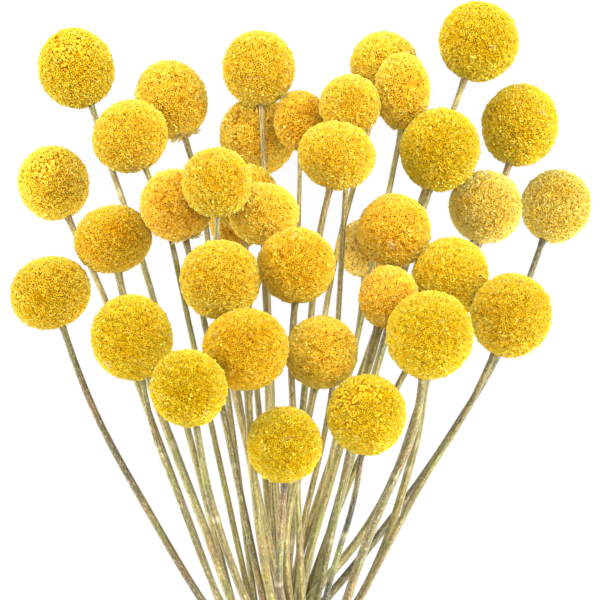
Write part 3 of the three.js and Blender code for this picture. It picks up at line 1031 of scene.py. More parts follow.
    @staticmethod
    def bract() -> Object:
        """Make one dry bract: a pointed blade with a raised midrib, 1 long from its foot along +Y.

        Returns:
            The bract, on no collection of the scene.
        """
        edge = [(0, 0, 0), (-0.22, 0.45, 0.02), (0.22, 0.45, 0.02), (0, 1, 0.12)]
        rib = [(0, 0.45, 0.14), (0, 0.45, -0.04)]
        faces = [(0, 4, 1), (0, 2, 4), (1, 4, 3), (4, 2, 3), (0, 1, 5), (0, 5, 2), (1, 3, 5), (5, 3, 2)]
        return bpy.data.objects.new("bract", new_mesh("bract", edge + rib, faces=faces))

    def outline_group(self) -> NodeTree:
        """Build the nodes that put a direction on a head's slightly lumpy outline.

        Returns:
            The tree.
        """
        tree, given = new_group(
            "Head outline",
            {"Vector": ("Direction",), "Float": (*self.FORM, "Inset"), "Int": ("Seed",)},
            {"Vector": ("Position", "Normal"), "Float": ("Nook",)},
        )
        width, direction = given["Half width"], given["Direction"]
        sizes = add(tree, "ShaderNodeCombineXYZ", (width, width, given["Half length"]))
        smooth = add(tree, "ShaderNodeVectorMath", (direction, sizes), operation="MULTIPLY")
        slope = add(tree, "ShaderNodeVectorMath", (direction, sizes), operation="DIVIDE")
        normal = add(tree, "ShaderNodeVectorMath", (slope,), operation="NORMALIZE")
        shift = add(tree, "ShaderNodeMath", (given["Seed"], self.PATTERN_STEP), operation="MULTIPLY")
        moved = add(tree, "ShaderNodeVectorMath", (smooth, shift), operation="ADD")
        height = lumps(tree, moved, given["Lump size"], self.LUMP_DETAIL, given["Lump height"])

        # the florets stand in small round clusters, with nooks between them
        scale = add(tree, "ShaderNodeMath", (1.0, given["Cluster size"]), operation="DIVIDE")
        near = add(tree, "ShaderNodeTexVoronoi", {"Vector": moved, "Scale": scale})
        nook = add(tree, "ShaderNodeMath", (near, 2.0), operation="POWER")
        clusters = (nook, given["Cluster depth"], given["Inset"])
        sunk = add(tree, "ShaderNodeMath", clusters, operation="MULTIPLY_ADD")
        total = add(tree, "ShaderNodeMath", (height, sunk), operation="SUBTRACT")
        offset = add(tree, "ShaderNodeVectorMath", (normal, total), operation="SCALE")
        place = add(tree, "ShaderNodeVectorMath", (smooth, offset), operation="ADD")
        add(tree, "NodeGroupOutput", {"Position": place, "Normal": normal, "Nook": nook})
        return tree

    def spiral_group(self) -> NodeTree:
        """Build the nodes that spread points evenly over a ball, each a little off its place.

        Returns:
            The tree.
        """
        tree, given = new_group(
            "Even spread",
            {"Float": self.SPREAD[:-1], "Int": ("Seed",)},
            {"Geometry": ("Points",), "Vector": ("Direction",)},
        )
        width, length, pitch = given["Half width"], given["Half length"], given["Pitch"]

        # as many points as the egg's surface has room for, which is about 4/3 pi times the reach
        stretched = add(tree, "ShaderNodeMath", (length, 2.0, width), operation="MULTIPLY_ADD")
        reach = add(tree, "ShaderNodeMath", (stretched, width), operation="MULTIPLY")
        cell = add(tree, "ShaderNodeMath", (pitch, pitch), operation="MULTIPLY")
        ratio = add(tree, "ShaderNodeMath", (reach, cell), operation="DIVIDE")
        per_ratio = 4 * math.pi / 3 / self.HEXAGON
        count = add(tree, "ShaderNodeMath", (ratio, per_ratio), operation="MULTIPLY")
        points = add(tree, "GeometryNodePoints", (count,))

        # a golden spiral from the top to the stem
        index = add(tree, "GeometryNodeInputIndex")
        share = add(tree, "ShaderNodeMath", (index, count), operation="DIVIDE")
        height = add(tree, "ShaderNodeMath", (share, -2.0, 1.0), operation="MULTIPLY_ADD")
        squared = add(tree, "ShaderNodeMath", (height, height), operation="MULTIPLY")
        rest = add(tree, "ShaderNodeMath", (1.0, squared), operation="SUBTRACT")
        ring = add(tree, "ShaderNodeMath", (rest,), operation="SQRT")
        turn = add(tree, "ShaderNodeMath", (index, GOLDEN_ANGLE), operation="MULTIPLY")
        even = add(tree, "ShaderNodeCombineXYZ", (*on_circle(tree, ring, turn), height))

        span = {"Min": (-1.0, -1.0, -1.0), "Max": (1.0, 1.0, 1.0), "Seed": given["Seed"]}
        shift = add(tree, "FunctionNodeRandomValue", span, data_type="FLOAT_VECTOR")
        relative = add(tree, "ShaderNodeMath", (pitch, width), operation="DIVIDE")
        jitter = add(tree, "ShaderNodeMath", (relative, given["Unevenness"]), operation="MULTIPLY")
        shifted = add(tree, "ShaderNodeVectorMath", (shift, jitter, even), operation="MULTIPLY_ADD")
        direction = add(tree, "ShaderNodeVectorMath", (shifted,), operation="NORMALIZE")
        add(tree, "NodeGroupOutput", {"Points": points, "Direction": direction})
        return tree

    def crowd_group(self, outline: NodeTree) -> NodeTree:
        """Build the nodes that cover a head with florets, apart from its budding or its open side.

        Args:
            outline: The nodes that put a direction on the head's outline.

        Returns:
            The tree.
        """
        tree, given = new_group(
            "Floret crowd",
            {
                "Float": (*self.FORM, "Pitch", "Unevenness", "Raised", "Budding"),
                "Int": ("Seed", "Kinds"),
                "Vector": ("Bud side",),
                "Bool": ("Buds",),
                "Collection": ("Florets",),
                "Material": ("Floret finish",),
            },
            {"Geometry": ("Geometry",)},
        )
        form = {name: given[name] for name in (*self.FORM, "Seed")}
        spread_sizes = {name: given[name] for name in self.SPREAD}
        spread = add(tree, "GeometryNodeGroup", spread_sizes, node_tree=self.spiral_group())
        direction = spread.outputs["Direction"]
        rises = {"Min": 0.0, "Max": given["Raised"], "Seed": Draw.FLORET_RISE}
        rise = add(tree, "FunctionNodeRandomValue", rises)
        sunk = add(tree, "ShaderNodeMath", (rise, -1.0), operation="MULTIPLY")
        seat = {"Direction": direction, "Inset": sunk, **form}
        spot = add(tree, "GeometryNodeGroup", seat, node_tree=outline)

        # the side that is still in bud, with an uneven edge
        facing = add(tree, "ShaderNodeVectorMath", (direction, given["Bud side"]), operation="DOT_PRODUCT")
        patches = {"Vector": direction, "Scale": self.BUD_PATCHES, "Detail": 1.0}
        patch = add(tree, "ShaderNodeTexNoise", patches)
        leaning = add(tree, "ShaderNodeMath", (facing, self.BUD_LEANING, patch), operation="MULTIPLY_ADD")
        edge = add(tree, "ShaderNodeMath", (self.BUD_EDGE, given["Budding"]), operation="SUBTRACT")
        in_bud = add(tree, "FunctionNodeCompare", (leaning, edge), operation="GREATER_THAN")
        wanted = add(tree, "FunctionNodeBooleanMath", (in_bud, given["Buds"]), operation="XNOR")
        height = add(tree, "ShaderNodeSeparateXYZ", (direction,)).outputs["Z"]
        clear = add(tree, "FunctionNodeCompare", (height, self.STEM_SEAT), operation="GREATER_THAN")
        kept = add(tree, "FunctionNodeBooleanMath", (wanted, clear), operation="AND")

        # each floret upright on its spot, a little swayed, of its own kind, width and number
        nook = {"Geometry": spread.outputs["Points"], "Name": "nook", "Value": spot.outputs["Nook"]}
        nooks = add(tree, "GeometryNodeStoreNamedAttribute", nook)
        places = add(tree, "GeometryNodeSetPosition", {"Geometry": nooks, "Position": spot})
        away = {"Vector": spot.outputs["Normal"]}
        upright = add(tree, "FunctionNodeAlignRotationToVector", away, axis="Z")
        low, high = self.WIDTHS
        width = add(tree, "FunctionNodeRandomValue", {"Min": low, "Max": high, "Seed": Draw.FLORET_WIDTH})
        last = add(tree, "ShaderNodeMath", (given["Kinds"], 1.0), operation="SUBTRACT")
        kinds = {"Min": 0, "Max": last, "Seed": Draw.FLORET_KIND}
        florets = {"Collection": given["Florets"], "Separate Children": True}
        copies = {
            "Points": places,
            "Selection": kept,
            "Instance": add(tree, "GeometryNodeCollectionInfo", florets),
            "Pick Instance": True,
            "Instance Index": add(tree, "FunctionNodeRandomValue", kinds, data_type="INT"),
            "Rotation": swayed(tree, upright, self.LEAN, Draw.FLORET_SWAY),
            "Scale": add(tree, "ShaderNodeMath", (width, given["Pitch"]), operation="MULTIPLY"),
        }
        crowd = add(tree, "GeometryNodeInstanceOnPoints", copies)
        own = add(tree, "FunctionNodeRandomValue", {"Min": 0.0, "Max": 1.0, "Seed": Draw.FLORET_NUMBER})
        number = {"Geometry": crowd, "Name": "own", "Value": own}
        numbered = add(tree, "GeometryNodeStoreNamedAttribute", number, domain="INSTANCE")
        whole = add(tree, "GeometryNodeRealizeInstances", (numbered,))
        finish = {"Geometry": whole, "Material": given["Floret finish"]}
        add(tree, "NodeGroupOutput", (add(tree, "GeometryNodeSetMaterial", finish),))
        return tree

    def bract_ring(self, tree: NodeTree, given: Any, outline: NodeTree, form: dict[str, Any]) -> Node:
        """Add the nodes of a ring of dry bracts round the stem.

        Args:
            tree: The tree of the whole head.
            given: The sockets that give its inputs.
            outline: The nodes that put a direction on the head's outline.
            form: The sockets that give the sizes of the outline.

        Returns:
            The node that gives the bracts.
        """
        index = add(tree, "GeometryNodeInputIndex")
        points = add(tree, "GeometryNodePoints", (given["Bracts"],))
        turn = add(tree, "ShaderNodeMath", (index, GOLDEN_ANGLE), operation="MULTIPLY")
        low, high = self.BRACT_RING
        radius = add(tree, "FunctionNodeRandomValue", {"Min": low, "Max": high, "Seed": Draw.BRACT_RING})
        x, y = on_circle(tree, radius, turn)
        below = add(tree, "ShaderNodeCombineXYZ", (x, y, -1.0))
        direction = add(tree, "ShaderNodeVectorMath", (below,), operation="NORMALIZE")
        seat = {"Direction": direction, "Inset": self.BRACT_SUNK, **form}
        under = add(tree, "GeometryNodeGroup", seat, node_tree=outline)
        ring = add(tree, "GeometryNodeSetPosition", {"Geometry": points, "Position": under})
        flat = add(tree, "FunctionNodeAlignRotationToVector", {"Vector": under.outputs["Normal"]}, axis="Z")
        outward = add(tree, "ShaderNodeCombineXYZ", (x, y, 0.0))
        aim = {"Rotation": flat, "Vector": outward}
        aimed = add(tree, "FunctionNodeAlignRotationToVector", aim, axis="Y", pivot_axis="Z")
        splay = add(tree, "ShaderNodeCombineXYZ", (given["Splay"],))
        copies = {
            "Points": ring,
            "Instance": add(tree, "GeometryNodeObjectInfo", (given["Bract"],)).outputs["Geometry"],
            "Rotation": turned(tree, aimed, splay),
            "Scale": given["Bract length"],
        }
        fringe = add(tree, "GeometryNodeInstanceOnPoints", copies)
        whole = add(tree, "GeometryNodeRealizeInstances", (fringe,))
        return add(tree, "GeometryNodeSetMaterial", {"Geometry": whole, "Material": given["Bract finish"]})

    def tree(self) -> NodeTree:
        """Build the nodes that grow one head: its core, its florets and its bracts, stem side down.

        Returns:
            The tree.
        """
        sizes = ("Pitch", "Bud pitch", "Unevenness", "Raised", "Inset", "Budding", "Bract length", "Splay")
        tree, given = new_group(
            "Flower head",
            {
                "Float": (*self.FORM, *sizes),
                "Int": ("Seed", "Bracts"),
                "Vector": ("Bud side",),
                "Collection": ("Florets", "Closed florets"),
                "Object": ("Bract",),
                "Material": ("Floret finish", "Core finish", "Bract finish"),
            },
            {"Geometry": ("Geometry",)},
        )
        outline = self.outline_group()
        form = {name: given[name] for name in (*self.FORM, "Seed")}

        # open florets all over, and closed ones on the side that is still in bud
        crowd = self.crowd_group(outline)
        names = ("Unevenness", "Raised", "Budding", "Bud side", "Floret finish")
        shared = {**form, **{name: given[name] for name in names}}
        parts = []
        for pitch, buds, kinds, florets in (
            ("Pitch", False, self.OPEN, "Florets"),
            ("Bud pitch", True, self.CLOSED, "Closed florets"),
        ):
            chosen = {"Pitch": given[pitch], "Buds": buds, "Kinds": len(kinds), "Florets": given[florets]}
            parts.append(add(tree, "GeometryNodeGroup", {**shared, **chosen}, node_tree=crowd))

        # the core that shows between the florets
        ball = add(tree, "GeometryNodeMeshIcoSphere", {"Radius": 1.0, "Subdivisions": 4})
        ways = {"Direction": add(tree, "GeometryNodeInputPosition"), "Inset": given["Inset"], **form}
        bed = add(tree, "GeometryNodeGroup", ways, node_tree=outline)
        core = add(tree, "GeometryNodeSetPosition", {"Geometry": ball, "Position": bed})
        dressed = add(tree, "GeometryNodeSetMaterial", {"Geometry": core, "Material": given["Core finish"]})

        joined = add(tree, "GeometryNodeJoinGeometry")
        for part in (dressed, *parts, self.bract_ring(tree, given, outline, form)):
            feed(joined, (part,))
        add(tree, "NodeGroupOutput", (joined,))
        return tree

    def press(self, mesh: Mesh) -> None:
        """Let the underside of a resting head give way to the surface that it lies on.

        Args:
            mesh: The head's mesh, in its place.
        """
        places = np.empty(len(mesh.vertices) * 3, np.float32)
        mesh.vertices.foreach_get("co", places)
        heights = places.reshape(-1, 3)[:, 2]
        lowest = -self.pressed - self.pitch / 2
        share = (heights - lowest) / (self.give - lowest)
        squeezed = self.floor_gap + np.maximum(share, 0) * (self.give - self.floor_gap)
        places.reshape(-1, 3)[:, 2] = np.where(heights < self.give, squeezed, heights)
        mesh.vertices.foreach_set("co", places)
        mesh.update()

    def build(self) -> None:
        """Grow every head in its place."""
        shapes = bpy.data.collections.new("floret_shapes")
        closed_shapes = bpy.data.collections.new("closed_floret_shapes")
        for sizes in self.OPEN:
            shapes.objects.link(self.cup(*sizes))
        for sizes in self.CLOSED:
            closed_shapes.objects.link(self.bud(*sizes))
        names = ("Pitch", "Bud pitch", "Unevenness", "Raised", "Inset", *self.FORM[2:], *self.FRINGE)
        common = {
            **sizes_of(self, *names),
            "Florets": shapes,
            "Closed florets": closed_shapes,
            "Bract": self.bract(),
            "Core finish": RECEPTACLE.build(),
            "Bract finish": BRACT_PAPER.build(),
        }
        finishes = {tint: finish.build() for tint, finish in FLORET_FINISHES.items()}
        tones = {number: tone for tone, numbers in HEAD_PAINTED_LIGHT.items() for number in numbers}
        tree = self.tree()
        for form in self.forms:
            node = f"head_{form.number:02d}"
            turn = Vector((0, 0, 1)).rotation_difference(Vector(-form.down))
            values = {
                **common,
                "Half width": form.half_width,
                "Half length": form.half_length,
                "Seed": form.number,
                "Budding": self.budding.get(form.number, 0.0),
                "Bud side": turn.inverted() @ Vector(self.BUD_SIDE).normalized(),
                "Floret finish": finishes[Tint(self.slots[node])],
            }
            if form.number in self.fringed:
                values.update({name: common[name] * times for name, times in self.FRINGE.items()})
            piece = grow(f"flower_{node}", tree, bpy.data.meshes.new("start"), values)
            # each head's painted light, which its florets' finish reads as its tone
            mark(piece.data, "tone", "FACE", [tones.get(form.number, 1.0)] * len(piece.data.polygons))
            piece.data.transform(Matrix.Translation(Vector(form.centre)) @ turn.to_matrix().to_4x4())
            if form.rests:
                self.press(piece.data)
            settle(piece, self.slots[node], node)


# ---------------------------------------------------------------- stems


class StemTone(Enum):
    """The tones of the stems, from the darkest to the most bleached: partly the colours that they have
    dried to, and partly painted light, with paler tones for stems in the heads' shade and darker ones
    for stems in full light.

    Dried herb stem gives them a dull, straw-like skin, and the last number says how woolly it is.
    """

    DARK = StemFinish("dried_stem_dark", "#372E0B", 0.3)
    UMBER = StemFinish("dried_stem_umber", "#5C512B", 0.35)
    OLIVE = StemFinish("dried_stem_olive", "#6F6122", 0.35)
    DUSTY = StemFinish("dried_stem_dusty", "#756832", 0.5)
    GREEN = StemFinish("dried_stem_green", "#8B7F33", 0.4)
    TAN = StemFinish("dried_stem_tan", "#9E8B48", 0.45)
    SAGE = StemFinish("dried_stem_sage", "#9C9253", 0.6)
    PALE = StemFinish("dried_stem_pale", "#C6B46E", 0.5)
    BLEACHED = StemFinish("dried_stem_bleached", "#DACD7E", 0.4)


# the stems of each tone, by number; paler tones also paint light onto stems that the heads shade, and
# darker ones paint shade onto stems in full light
STEM_TONES = {
    StemTone.DARK: (33, 34),
    StemTone.UMBER: (11, 25),
    StemTone.OLIVE: (30, 36),
    StemTone.DUSTY: (9, 26, 31, 35),
    StemTone.GREEN: (4, 5, 24, 28, 29, 37),
    StemTone.TAN: (6, 12, 13, 14, 20, 22, 32),
    StemTone.SAGE: (1, 3, 10, 17, 23),
    StemTone.PALE: (2, 7, 8, 15, 16),
    StemTone.BLEACHED: (18, 19, 21, 27),
}


@dataclass
class DriedStems:
    """The slender ribbed stems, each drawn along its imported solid."""

    LINE_SMOOTHING = 2  # rounds of softening on the finished line
    JOINT_SPAN = (0.05, 0.95)  # the stretch of a stem that has joints, as shares of its length
    FLARE_LENGTH = 2 * MM
    SIDE_CORNERS = 4.5  # a face with more corners than this is a cut end and not a side
    GRAIN_DETAIL = 2.0
    PATTERN_STEP = 0.1  # how far apart the grain of one stem and the next is read

    runs: list[StemRun]
    nodes: dict[int, str]
    heads: dict[int, HeadForm]
    waist: float
    step: float = 4.5 * MM
    bunched: float = 0.95  # the thickness where the stems are bunched, in times the solid's
    plumper: float = 0.12  # and how much more it is where they have spread
    spread: float = 60 * MM  # how far above the waist that is
    sides: int = 10
    joints: int = 4
    joint_width: float = 0.8 * MM
    rib_depth: float = 0.08  # in times the half thickness, as are the next two shares
    swelling: float = 0.1  # of a joint
    flare: float = 0.35  # of the top, under the head
    roughness: float = 0.16 * MM
    grain: float = 1.6 * MM
    into_head: float = 2.2 * MM
    smoothing: int = 5

    def path(self, run: StemRun) -> Mesh:
        """Draw a stem's smoothed middle line, with its half thickness at each point.

        Args:
            run: The stem as it was read from its solid.

        Returns:
            A line of points and edges, with what the stem's tree and finish read along it.
        """
        points, radii = run.points, run.radii
        for _ in range(self.smoothing):
            points, radii = softened(points), softened(radii)
        points = np.vstack([points, points[-1] - self.heads[run.number].down * self.into_head])
        freed = np.clip((points[:, 1] - self.waist) / self.spread, 0, 1)
        radii = np.append(radii, radii[-1]) * (self.bunched + self.plumper * freed)

        lengths = lengths_to(points)
        whole = lengths[-1]
        random = np.random.default_rng(run.number)
        joints = random.uniform(*self.JOINT_SPAN, self.joints) * whole
        beside = joints[:, None] + np.array([-1, 0, 1]) * self.joint_width
        along = np.unique(np.concatenate([np.arange(0, whole, self.step), beside.ravel(), lengths[-1:]]))
        line = at_lengths(along, lengths, points)
        for _ in range(self.LINE_SMOOTHING):
            line[:-1] = softened(line[:-1])

        nearness = np.exp(-(((along[:, None] - joints) / self.joint_width) ** 2)).max(axis=1)
        from_top = np.maximum(whole - self.into_head - along, 0)
        thickness = np.interp(along, lengths, radii)
        thickness *= 1 + self.swelling * nearness
        thickness *= 1 + self.flare * np.exp(-((from_top / self.FLARE_LENGTH) ** 2))
        mesh = new_mesh("stem_path", line.tolist(), chained(len(line)))
        mark(mesh, "half_thickness", "POINT", thickness)
        mark(mesh, "run", "POINT", along)
        mark(mesh, "joint", "POINT", nearness)
        return mesh

    def tree(self) -> NodeTree:
        """Build the nodes that sweep a ribbed section along a path and roughen it.

        Returns:
            The tree.
        """
        tree, given = new_group(
            "Dried stem",
            {
                "Geometry": ("Path",),
                "Int": ("Sides",),
                "Float": ("Rib depth", "Roughness", "Grain", "Pattern"),
                "Material": ("Finish",),
            },
            {"Geometry": ("Geometry",)},
        )

        # a round section with every second corner sunk, swept along the path
        curve = add(tree, "GeometryNodeMeshToCurve", (given["Path"],))
        thickness = add(tree, "GeometryNodeInputNamedAttribute", ("half_thickness",))
        ring = add(tree, "GeometryNodeCurvePrimitiveCircle", {"Resolution": given["Sides"], "Radius": 1.0})
        place = add(tree, "GeometryNodeInputPosition")
        index = add(tree, "GeometryNodeInputIndex")
        odd = add(tree, "ShaderNodeMath", (index, 2.0), operation="MODULO")
        sunk = add(tree, "ShaderNodeMath", (odd, given["Rib depth"]), operation="MULTIPLY")
        kept = add(tree, "ShaderNodeMath", (1.0, sunk), operation="SUBTRACT")
        ribs = add(tree, "ShaderNodeVectorMath", (place, kept), operation="SCALE")
        ribbed = add(tree, "GeometryNodeSetPosition", {"Geometry": ring, "Position": ribs})
        groove = {"Geometry": ribbed, "Name": "groove", "Value": odd}
        grooved = add(tree, "GeometryNodeStoreNamedAttribute", groove)
        turn = {"Geometry": grooved, "Name": "around", "Value": place}
        section = add(tree, "GeometryNodeStoreNamedAttribute", turn, data_type="FLOAT_VECTOR")
        sweep = {"Curve": curve, "Profile Curve": section, "Scale": thickness, "Fill Caps": True}
        swept = add(tree, "GeometryNodeCurveToMesh", sweep)

        # the stem's coordinates as if it were straight, and its cut ends, for the finish
        around = add(tree, "GeometryNodeInputNamedAttribute", ("around",), data_type="FLOAT_VECTOR")
        run = add(tree, "GeometryNodeInputNamedAttribute", ("run",))
        across = add(tree, "ShaderNodeVectorMath", (around, thickness), operation="SCALE")
        along = add(tree, "ShaderNodeCombineXYZ", (given["Pattern"], 0.0, run))
        straight = add(tree, "ShaderNodeVectorMath", (across, along), operation="ADD")
        mapped = {"Geometry": swept, "Name": "straight", "Value": straight}
        marked = add(tree, "GeometryNodeStoreNamedAttribute", mapped, data_type="FLOAT_VECTOR")
        corners = add(tree, "GeometryNodeInputMeshFaceNeighbors")
        is_cut = add(tree, "FunctionNodeCompare", (corners, self.SIDE_CORNERS), operation="GREATER_THAN")
        cut = {"Geometry": marked, "Name": "cut", "Value": is_cut}
        capped = add(tree, "GeometryNodeStoreNamedAttribute", cut, domain="FACE")

        height = lumps(tree, straight, given["Grain"], self.GRAIN_DETAIL, given["Roughness"])
        normal = add(tree, "GeometryNodeInputNormal")
        offset = add(tree, "ShaderNodeVectorMath", (normal, height), operation="SCALE")
        rough = add(tree, "GeometryNodeSetPosition", {"Geometry": capped, "Offset": offset})
        side = add(tree, "FunctionNodeBooleanMath", (is_cut,), operation="NOT")
        smooth = add(tree, "GeometryNodeSetShadeSmooth", {"Geometry": rough, "Shade Smooth": side})
        whole = add(tree, "GeometryNodeRealizeInstances", (smooth,))
        finish = {"Geometry": whole, "Material": given["Finish"]}
        add(tree, "NodeGroupOutput", (add(tree, "GeometryNodeSetMaterial", finish),))
        return tree

    def build(self) -> None:
        """Draw every stem in its place."""
        tones = {number: tone for tone, numbers in STEM_TONES.items() for number in numbers}
        finishes = {tone: tone.value.build() for tone in StemTone}
        tree = self.tree()
        for run in self.runs:
            values = {
                **sizes_of(self, "Sides", "Rib depth", "Roughness", "Grain"),
                "Pattern": run.number * self.PATTERN_STEP,
                "Finish": finishes[tones[run.number]],
            }
            piece = grow(f"dried_stem_{run.number:02d}", tree, self.path(run), values)
            settle(piece, "stem", self.nodes[run.number])


# ---------------------------------------------------------------- twine


@dataclass
class TwineTie:
    """A few turns of twisted jute twine, wound tight, with both ends tucked under."""

    ROUNDING = 8  # rounds of softening on the outline of a turn
    TUCK_LENGTH = 4 * MM
    WANDER = 0.12 * MM  # how far the turns wander along the bunch
    WANDER_PACE = 29  # radians of that from one end to the other
    SECTION_POINTS = 15
    FIBRES = 0.45 / MM**2  # for each square metre of twine
    FIBRE_LEAN = 1.2
    FIBRE_LENGTHS = (0.5, 1.3)  # in times the usual length

    node: str = "twine_tie"
    diameter: float = 2.0 * MM
    turns: float = 3.8
    lay: float = 5.2 * MM
    step: float = 0.7 * MM
    strands: int = 3
    groove: float = 0.3
    tuck: float = 2.4 * MM
    fibre_length: float = 1.1 * MM

    def path(self) -> Mesh:
        """Wind the twine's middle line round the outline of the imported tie.

        Returns:
            A line of points and edges.
        """
        points, _ = welded(self.node)
        flat = [Vector((point[0], point[2])) for point in points]
        hull = np.array([flat[i] for i in convex_hull_2d(flat)])
        middle = hull.mean(axis=0)
        hull = np.vstack([hull, hull[:1]]) - middle
        lengths = lengths_to(hull)
        per_turn = round(lengths[-1] / self.step)
        ring = at_lengths(np.linspace(0, lengths[-1], per_turn, endpoint=False), lengths, hull)
        for _ in range(self.ROUNDING):
            ring = (np.roll(ring, 1, axis=0) + 2 * ring + np.roll(ring, -1, axis=0)) / 4
        ring = ring * (1 - self.diameter / 2 / np.linalg.norm(ring, axis=1, keepdims=True))

        low, high = points[:, 1].min(), points[:, 1].max()
        count = round(per_turn * self.turns)
        steps = np.arange(count)
        share = steps / (count - 1)
        along = low + self.diameter / 2 + share * (high - low - self.diameter)
        along += self.WANDER * np.sin(share * self.WANDER_PACE)
        from_end = np.minimum(steps, count - 1 - steps) * self.step
        sunk = self.tuck * np.exp(-((from_end / self.TUCK_LENGTH) ** 2))
        places = ring[steps % per_turn]
        places = places * (1 - sunk[:, None] / np.linalg.norm(places, axis=1, keepdims=True)) + middle
        line = np.column_stack([places[:, 0], along, places[:, 1]])
        return new_mesh("twine_path", line.tolist(), chained(count))

    def tree(self) -> NodeTree:
        """Build the nodes that sweep three twisted strands along a path and add loose fibres.

        Returns:
            The tree.
        """
        tree, given = new_group(
            "Twisted twine",
            {
                "Geometry": ("Path",),
                "Float": ("Radius", "Lay", "Groove", "Fibre length"),
                "Int": ("Strands",),
                "Object": ("Fibre",),
                "Material": ("Finish",),
            },
            {"Geometry": ("Geometry",)},
        )

        # a section with one lobe for each strand and a dip, down to -1, between two of them, which
        # turns once for each lay as it is swept
        curve = add(tree, "GeometryNodeMeshToCurve", (given["Path"],))
        along = add(tree, "GeometryNodeSplineParameter").outputs["Length"]
        turns = add(tree, "ShaderNodeMath", (along, given["Lay"]), operation="DIVIDE")
        tilt = add(tree, "ShaderNodeMath", (turns, 2 * math.pi), operation="MULTIPLY")
        twisted = add(tree, "GeometryNodeSetCurveTilt", {"Curve": curve, "Tilt": tilt})
        circle = {"Resolution": self.SECTION_POINTS, "Radius": 1.0}
        ring = add(tree, "GeometryNodeCurvePrimitiveCircle", circle)
        place = add(tree, "GeometryNodeInputPosition")
        parts = add(tree, "ShaderNodeSeparateXYZ", (place,))
        angle = add(tree, "ShaderNodeMath", (parts.outputs["Y"], parts.outputs["X"]), operation="ARCTAN2")
        lobes = add(tree, "ShaderNodeMath", (angle, given["Strands"]), operation="MULTIPLY")
        wave = add(tree, "ShaderNodeMath", (lobes,), operation="COSINE")
        dip = add(tree, "ShaderNodeMath", (wave, 0.5, -0.5), operation="MULTIPLY_ADD")
        shape = add(tree, "ShaderNodeMath", (dip, given["Groove"], 1.0), operation="MULTIPLY_ADD")
        scaled = add(tree, "ShaderNodeVectorMath", (place, shape), operation="SCALE")
        section = add(tree, "GeometryNodeSetPosition", {"Geometry": ring, "Position": scaled})
        sweep = {"Curve": twisted, "Profile Curve": section, "Scale": given["Radius"], "Fill Caps": True}
        swept = add(tree, "GeometryNodeCurveToMesh", sweep)
        smooth = add(tree, "GeometryNodeSetShadeSmooth", (swept,))

        # loose fibres all over it
        scatter = {"Mesh": swept, "Density": self.FIBRES, "Seed": Draw.FIBRE_PLACE}
        spots = add(tree, "GeometryNodeDistributePointsOnFaces", scatter)
        low, high = self.FIBRE_LENGTHS
        length = add(tree, "FunctionNodeRandomValue", {"Min": low, "Max": high, "Seed": Draw.FIBRE_LENGTH})
        copies = {
            "Points": spots,
            "Instance": add(tree, "GeometryNodeObjectInfo", (given["Fibre"],)).outputs["Geometry"],
            "Rotation": swayed(tree, spots.outputs["Rotation"], self.FIBRE_LEAN, Draw.FIBRE_SWAY),
            "Scale": add(tree, "ShaderNodeMath", (length, given["Fibre length"]), operation="MULTIPLY"),
        }
        fuzz = add(tree, "GeometryNodeInstanceOnPoints", copies)
        joined = add(tree, "GeometryNodeJoinGeometry")
        for part in (smooth, fuzz):
            feed(joined, (part,))
        whole = add(tree, "GeometryNodeRealizeInstances", (joined,))
        finish = {"Geometry": whole, "Material": given["Finish"]}
        add(tree, "NodeGroupOutput", (add(tree, "GeometryNodeSetMaterial", finish),))
        return tree

    @staticmethod
    def fibre() -> Object:
        """Make one loose fibre: a thin bent spike with three sides, 1 long.

        Returns:
            The fibre, on no collection of the scene.
        """
        corners = [(0.05, 0, -0.1), (-0.03, 0.045, -0.1), (-0.03, -0.045, -0.1), (0.0, 0.1, 1.0)]
        faces = [(0, 1, 3), (1, 2, 3), (2, 0, 3), (2, 1, 0)]
        return bpy.data.objects.new("fibre", new_mesh("fibre", corners, faces=faces))

    def build(self) -> None:
        """Wind the twine in its place."""
        values = {
            **sizes_of(self, "Lay", "Strands", "Groove", "Fibre length"),
            "Radius": self.diameter / 2,
            "Fibre": self.fibre(),
            "Finish": JUTE.build(),
        }
        settle(grow("wound_twine", self.tree(), self.path(), values), "twine", self.node)


# ---------------------------------------------------------------- studio


@dataclass(frozen=True)
class SoftLamp:
    """A large round lamp: where it hangs, how wide and how strong it is."""

    name: str
    place: tuple[float, float, float]
    size: float
    power: float


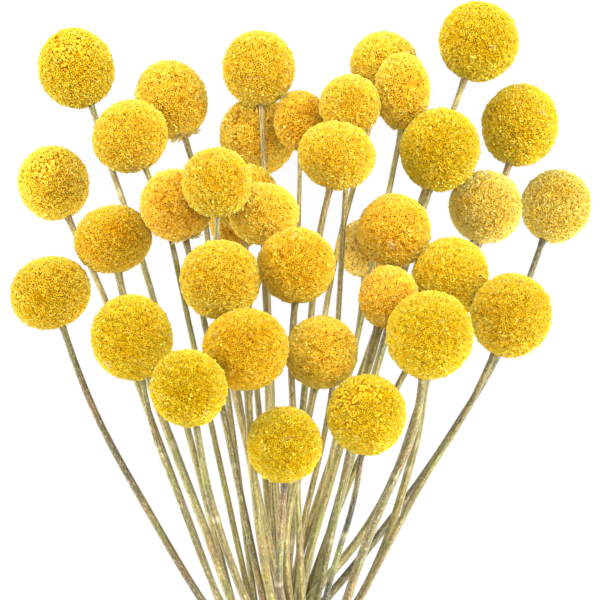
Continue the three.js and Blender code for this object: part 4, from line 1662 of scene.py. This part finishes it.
@dataclass
class Studio:
    """A pale table, soft lamps above and low on every side, and a camera that looks straight down."""

    view_width: float = 200 * MM
    view_centre: tuple[float, float] = (-0.37 * MM, 99.23 * MM)
    heads_height: float = 45 * MM  # where the view is as wide as that
    distance: float = 4.0
    farthest: float = 20.0
    table_size: float = 8.0
    sky: float = 0.38
    lamps: tuple[SoftLamp, ...] = (
        SoftLamp("key", (1.0, 0.9, 1.0), 0.6, 21.5),
        SoftLamp("overhead", (0.1, 0.3, 2.4), 0.8, 22.0),
        SoftLamp("left_fill", (-1.1, 0.35, 0.45), 0.8, 21.5),
        SoftLamp("right_fill", (1.15, 0.1, 0.45), 0.8, 24.5),
        SoftLamp("front_fill", (-0.1, -1.0, 0.45), 0.8, 18.0),
        SoftLamp("back_fill", (-0.3, 1.3, 0.45), 0.8, 15.5),
    )

    def camera(self) -> None:
        """Set the camera above the heads."""
        data = bpy.data.cameras.new("camera")
        data.lens = data.sensor_width * self.distance / self.view_width
        data.clip_end = self.farthest
        camera = placed("camera", data)
        camera.location = (*self.view_centre, self.heads_height + self.distance)
        bpy.context.scene.camera = camera

    def table(self) -> None:
        """Lay the table under the bunch."""
        half = self.table_size / 2
        corners = [(-half, -half, 0), (half, -half, 0), (half, half, 0), (-half, half, 0)]
        table = placed("table", new_mesh("table", corners, faces=[(0, 1, 2, 3)]))
        table.data.materials.append(TableFinish().build())

    def lights(self) -> None:
        """Hang the lamps, all aimed at the heads, and light the room evenly."""
        aim = Vector((*self.view_centre, self.heads_height))
        for lamp in self.lamps:
            data = bpy.data.lights.new(lamp.name, "AREA")
            data.shape = "DISK"
            data.size = lamp.size
            data.energy = lamp.power
            light = placed(lamp.name, data)
            light.location = lamp.place
            light.rotation_euler = (aim - Vector(lamp.place)).to_track_quat("-Z", "Y").to_euler()
            light.visible_camera = False
        world = bpy.data.worlds.new("white_room")
        world.use_nodes = True
        feed(world.node_tree.nodes["Background"], {"Color": linear("#FFFFFF"), "Strength": self.sky})
        bpy.context.scene.world = world
        bpy.context.scene.view_settings.view_transform = "Standard"

    def build(self) -> None:
        """Set up everything round the bunch."""
        self.camera()
        self.table()
        self.lights()
        log.info("studio: camera %.1f m above the heads", self.distance)


# ---------------------------------------------------------------- the whole picture


def main() -> None:
    """Build every part of the picture in order."""
    logging.basicConfig(level=logging.INFO, format="%(name)s: %(message)s")
    Studio().build()
    low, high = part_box(TwineTie.node)
    waist = (low.y + high.y) / 2
    slots = {part["node"]: part["material_slot"] for part in frame["record"]["subparts"]}
    nodes = {}
    runs = []
    for node in sorted(node for node, slot in slots.items() if slot == "stem"):
        found = StemRun.read(node, waist)
        runs += found
        nodes.update({run.number: node for run in found})
    runs.sort(key=lambda run: run.number)
    heads = {run.number: HeadForm.read(run.number, run.points[-1]) for run in runs}
    FlowerHeads(list(heads.values()), slots).build()
    DriedStems(runs, nodes, heads, waist).build()
    TwineTie().build()


if __name__ == "__main__":
    main()
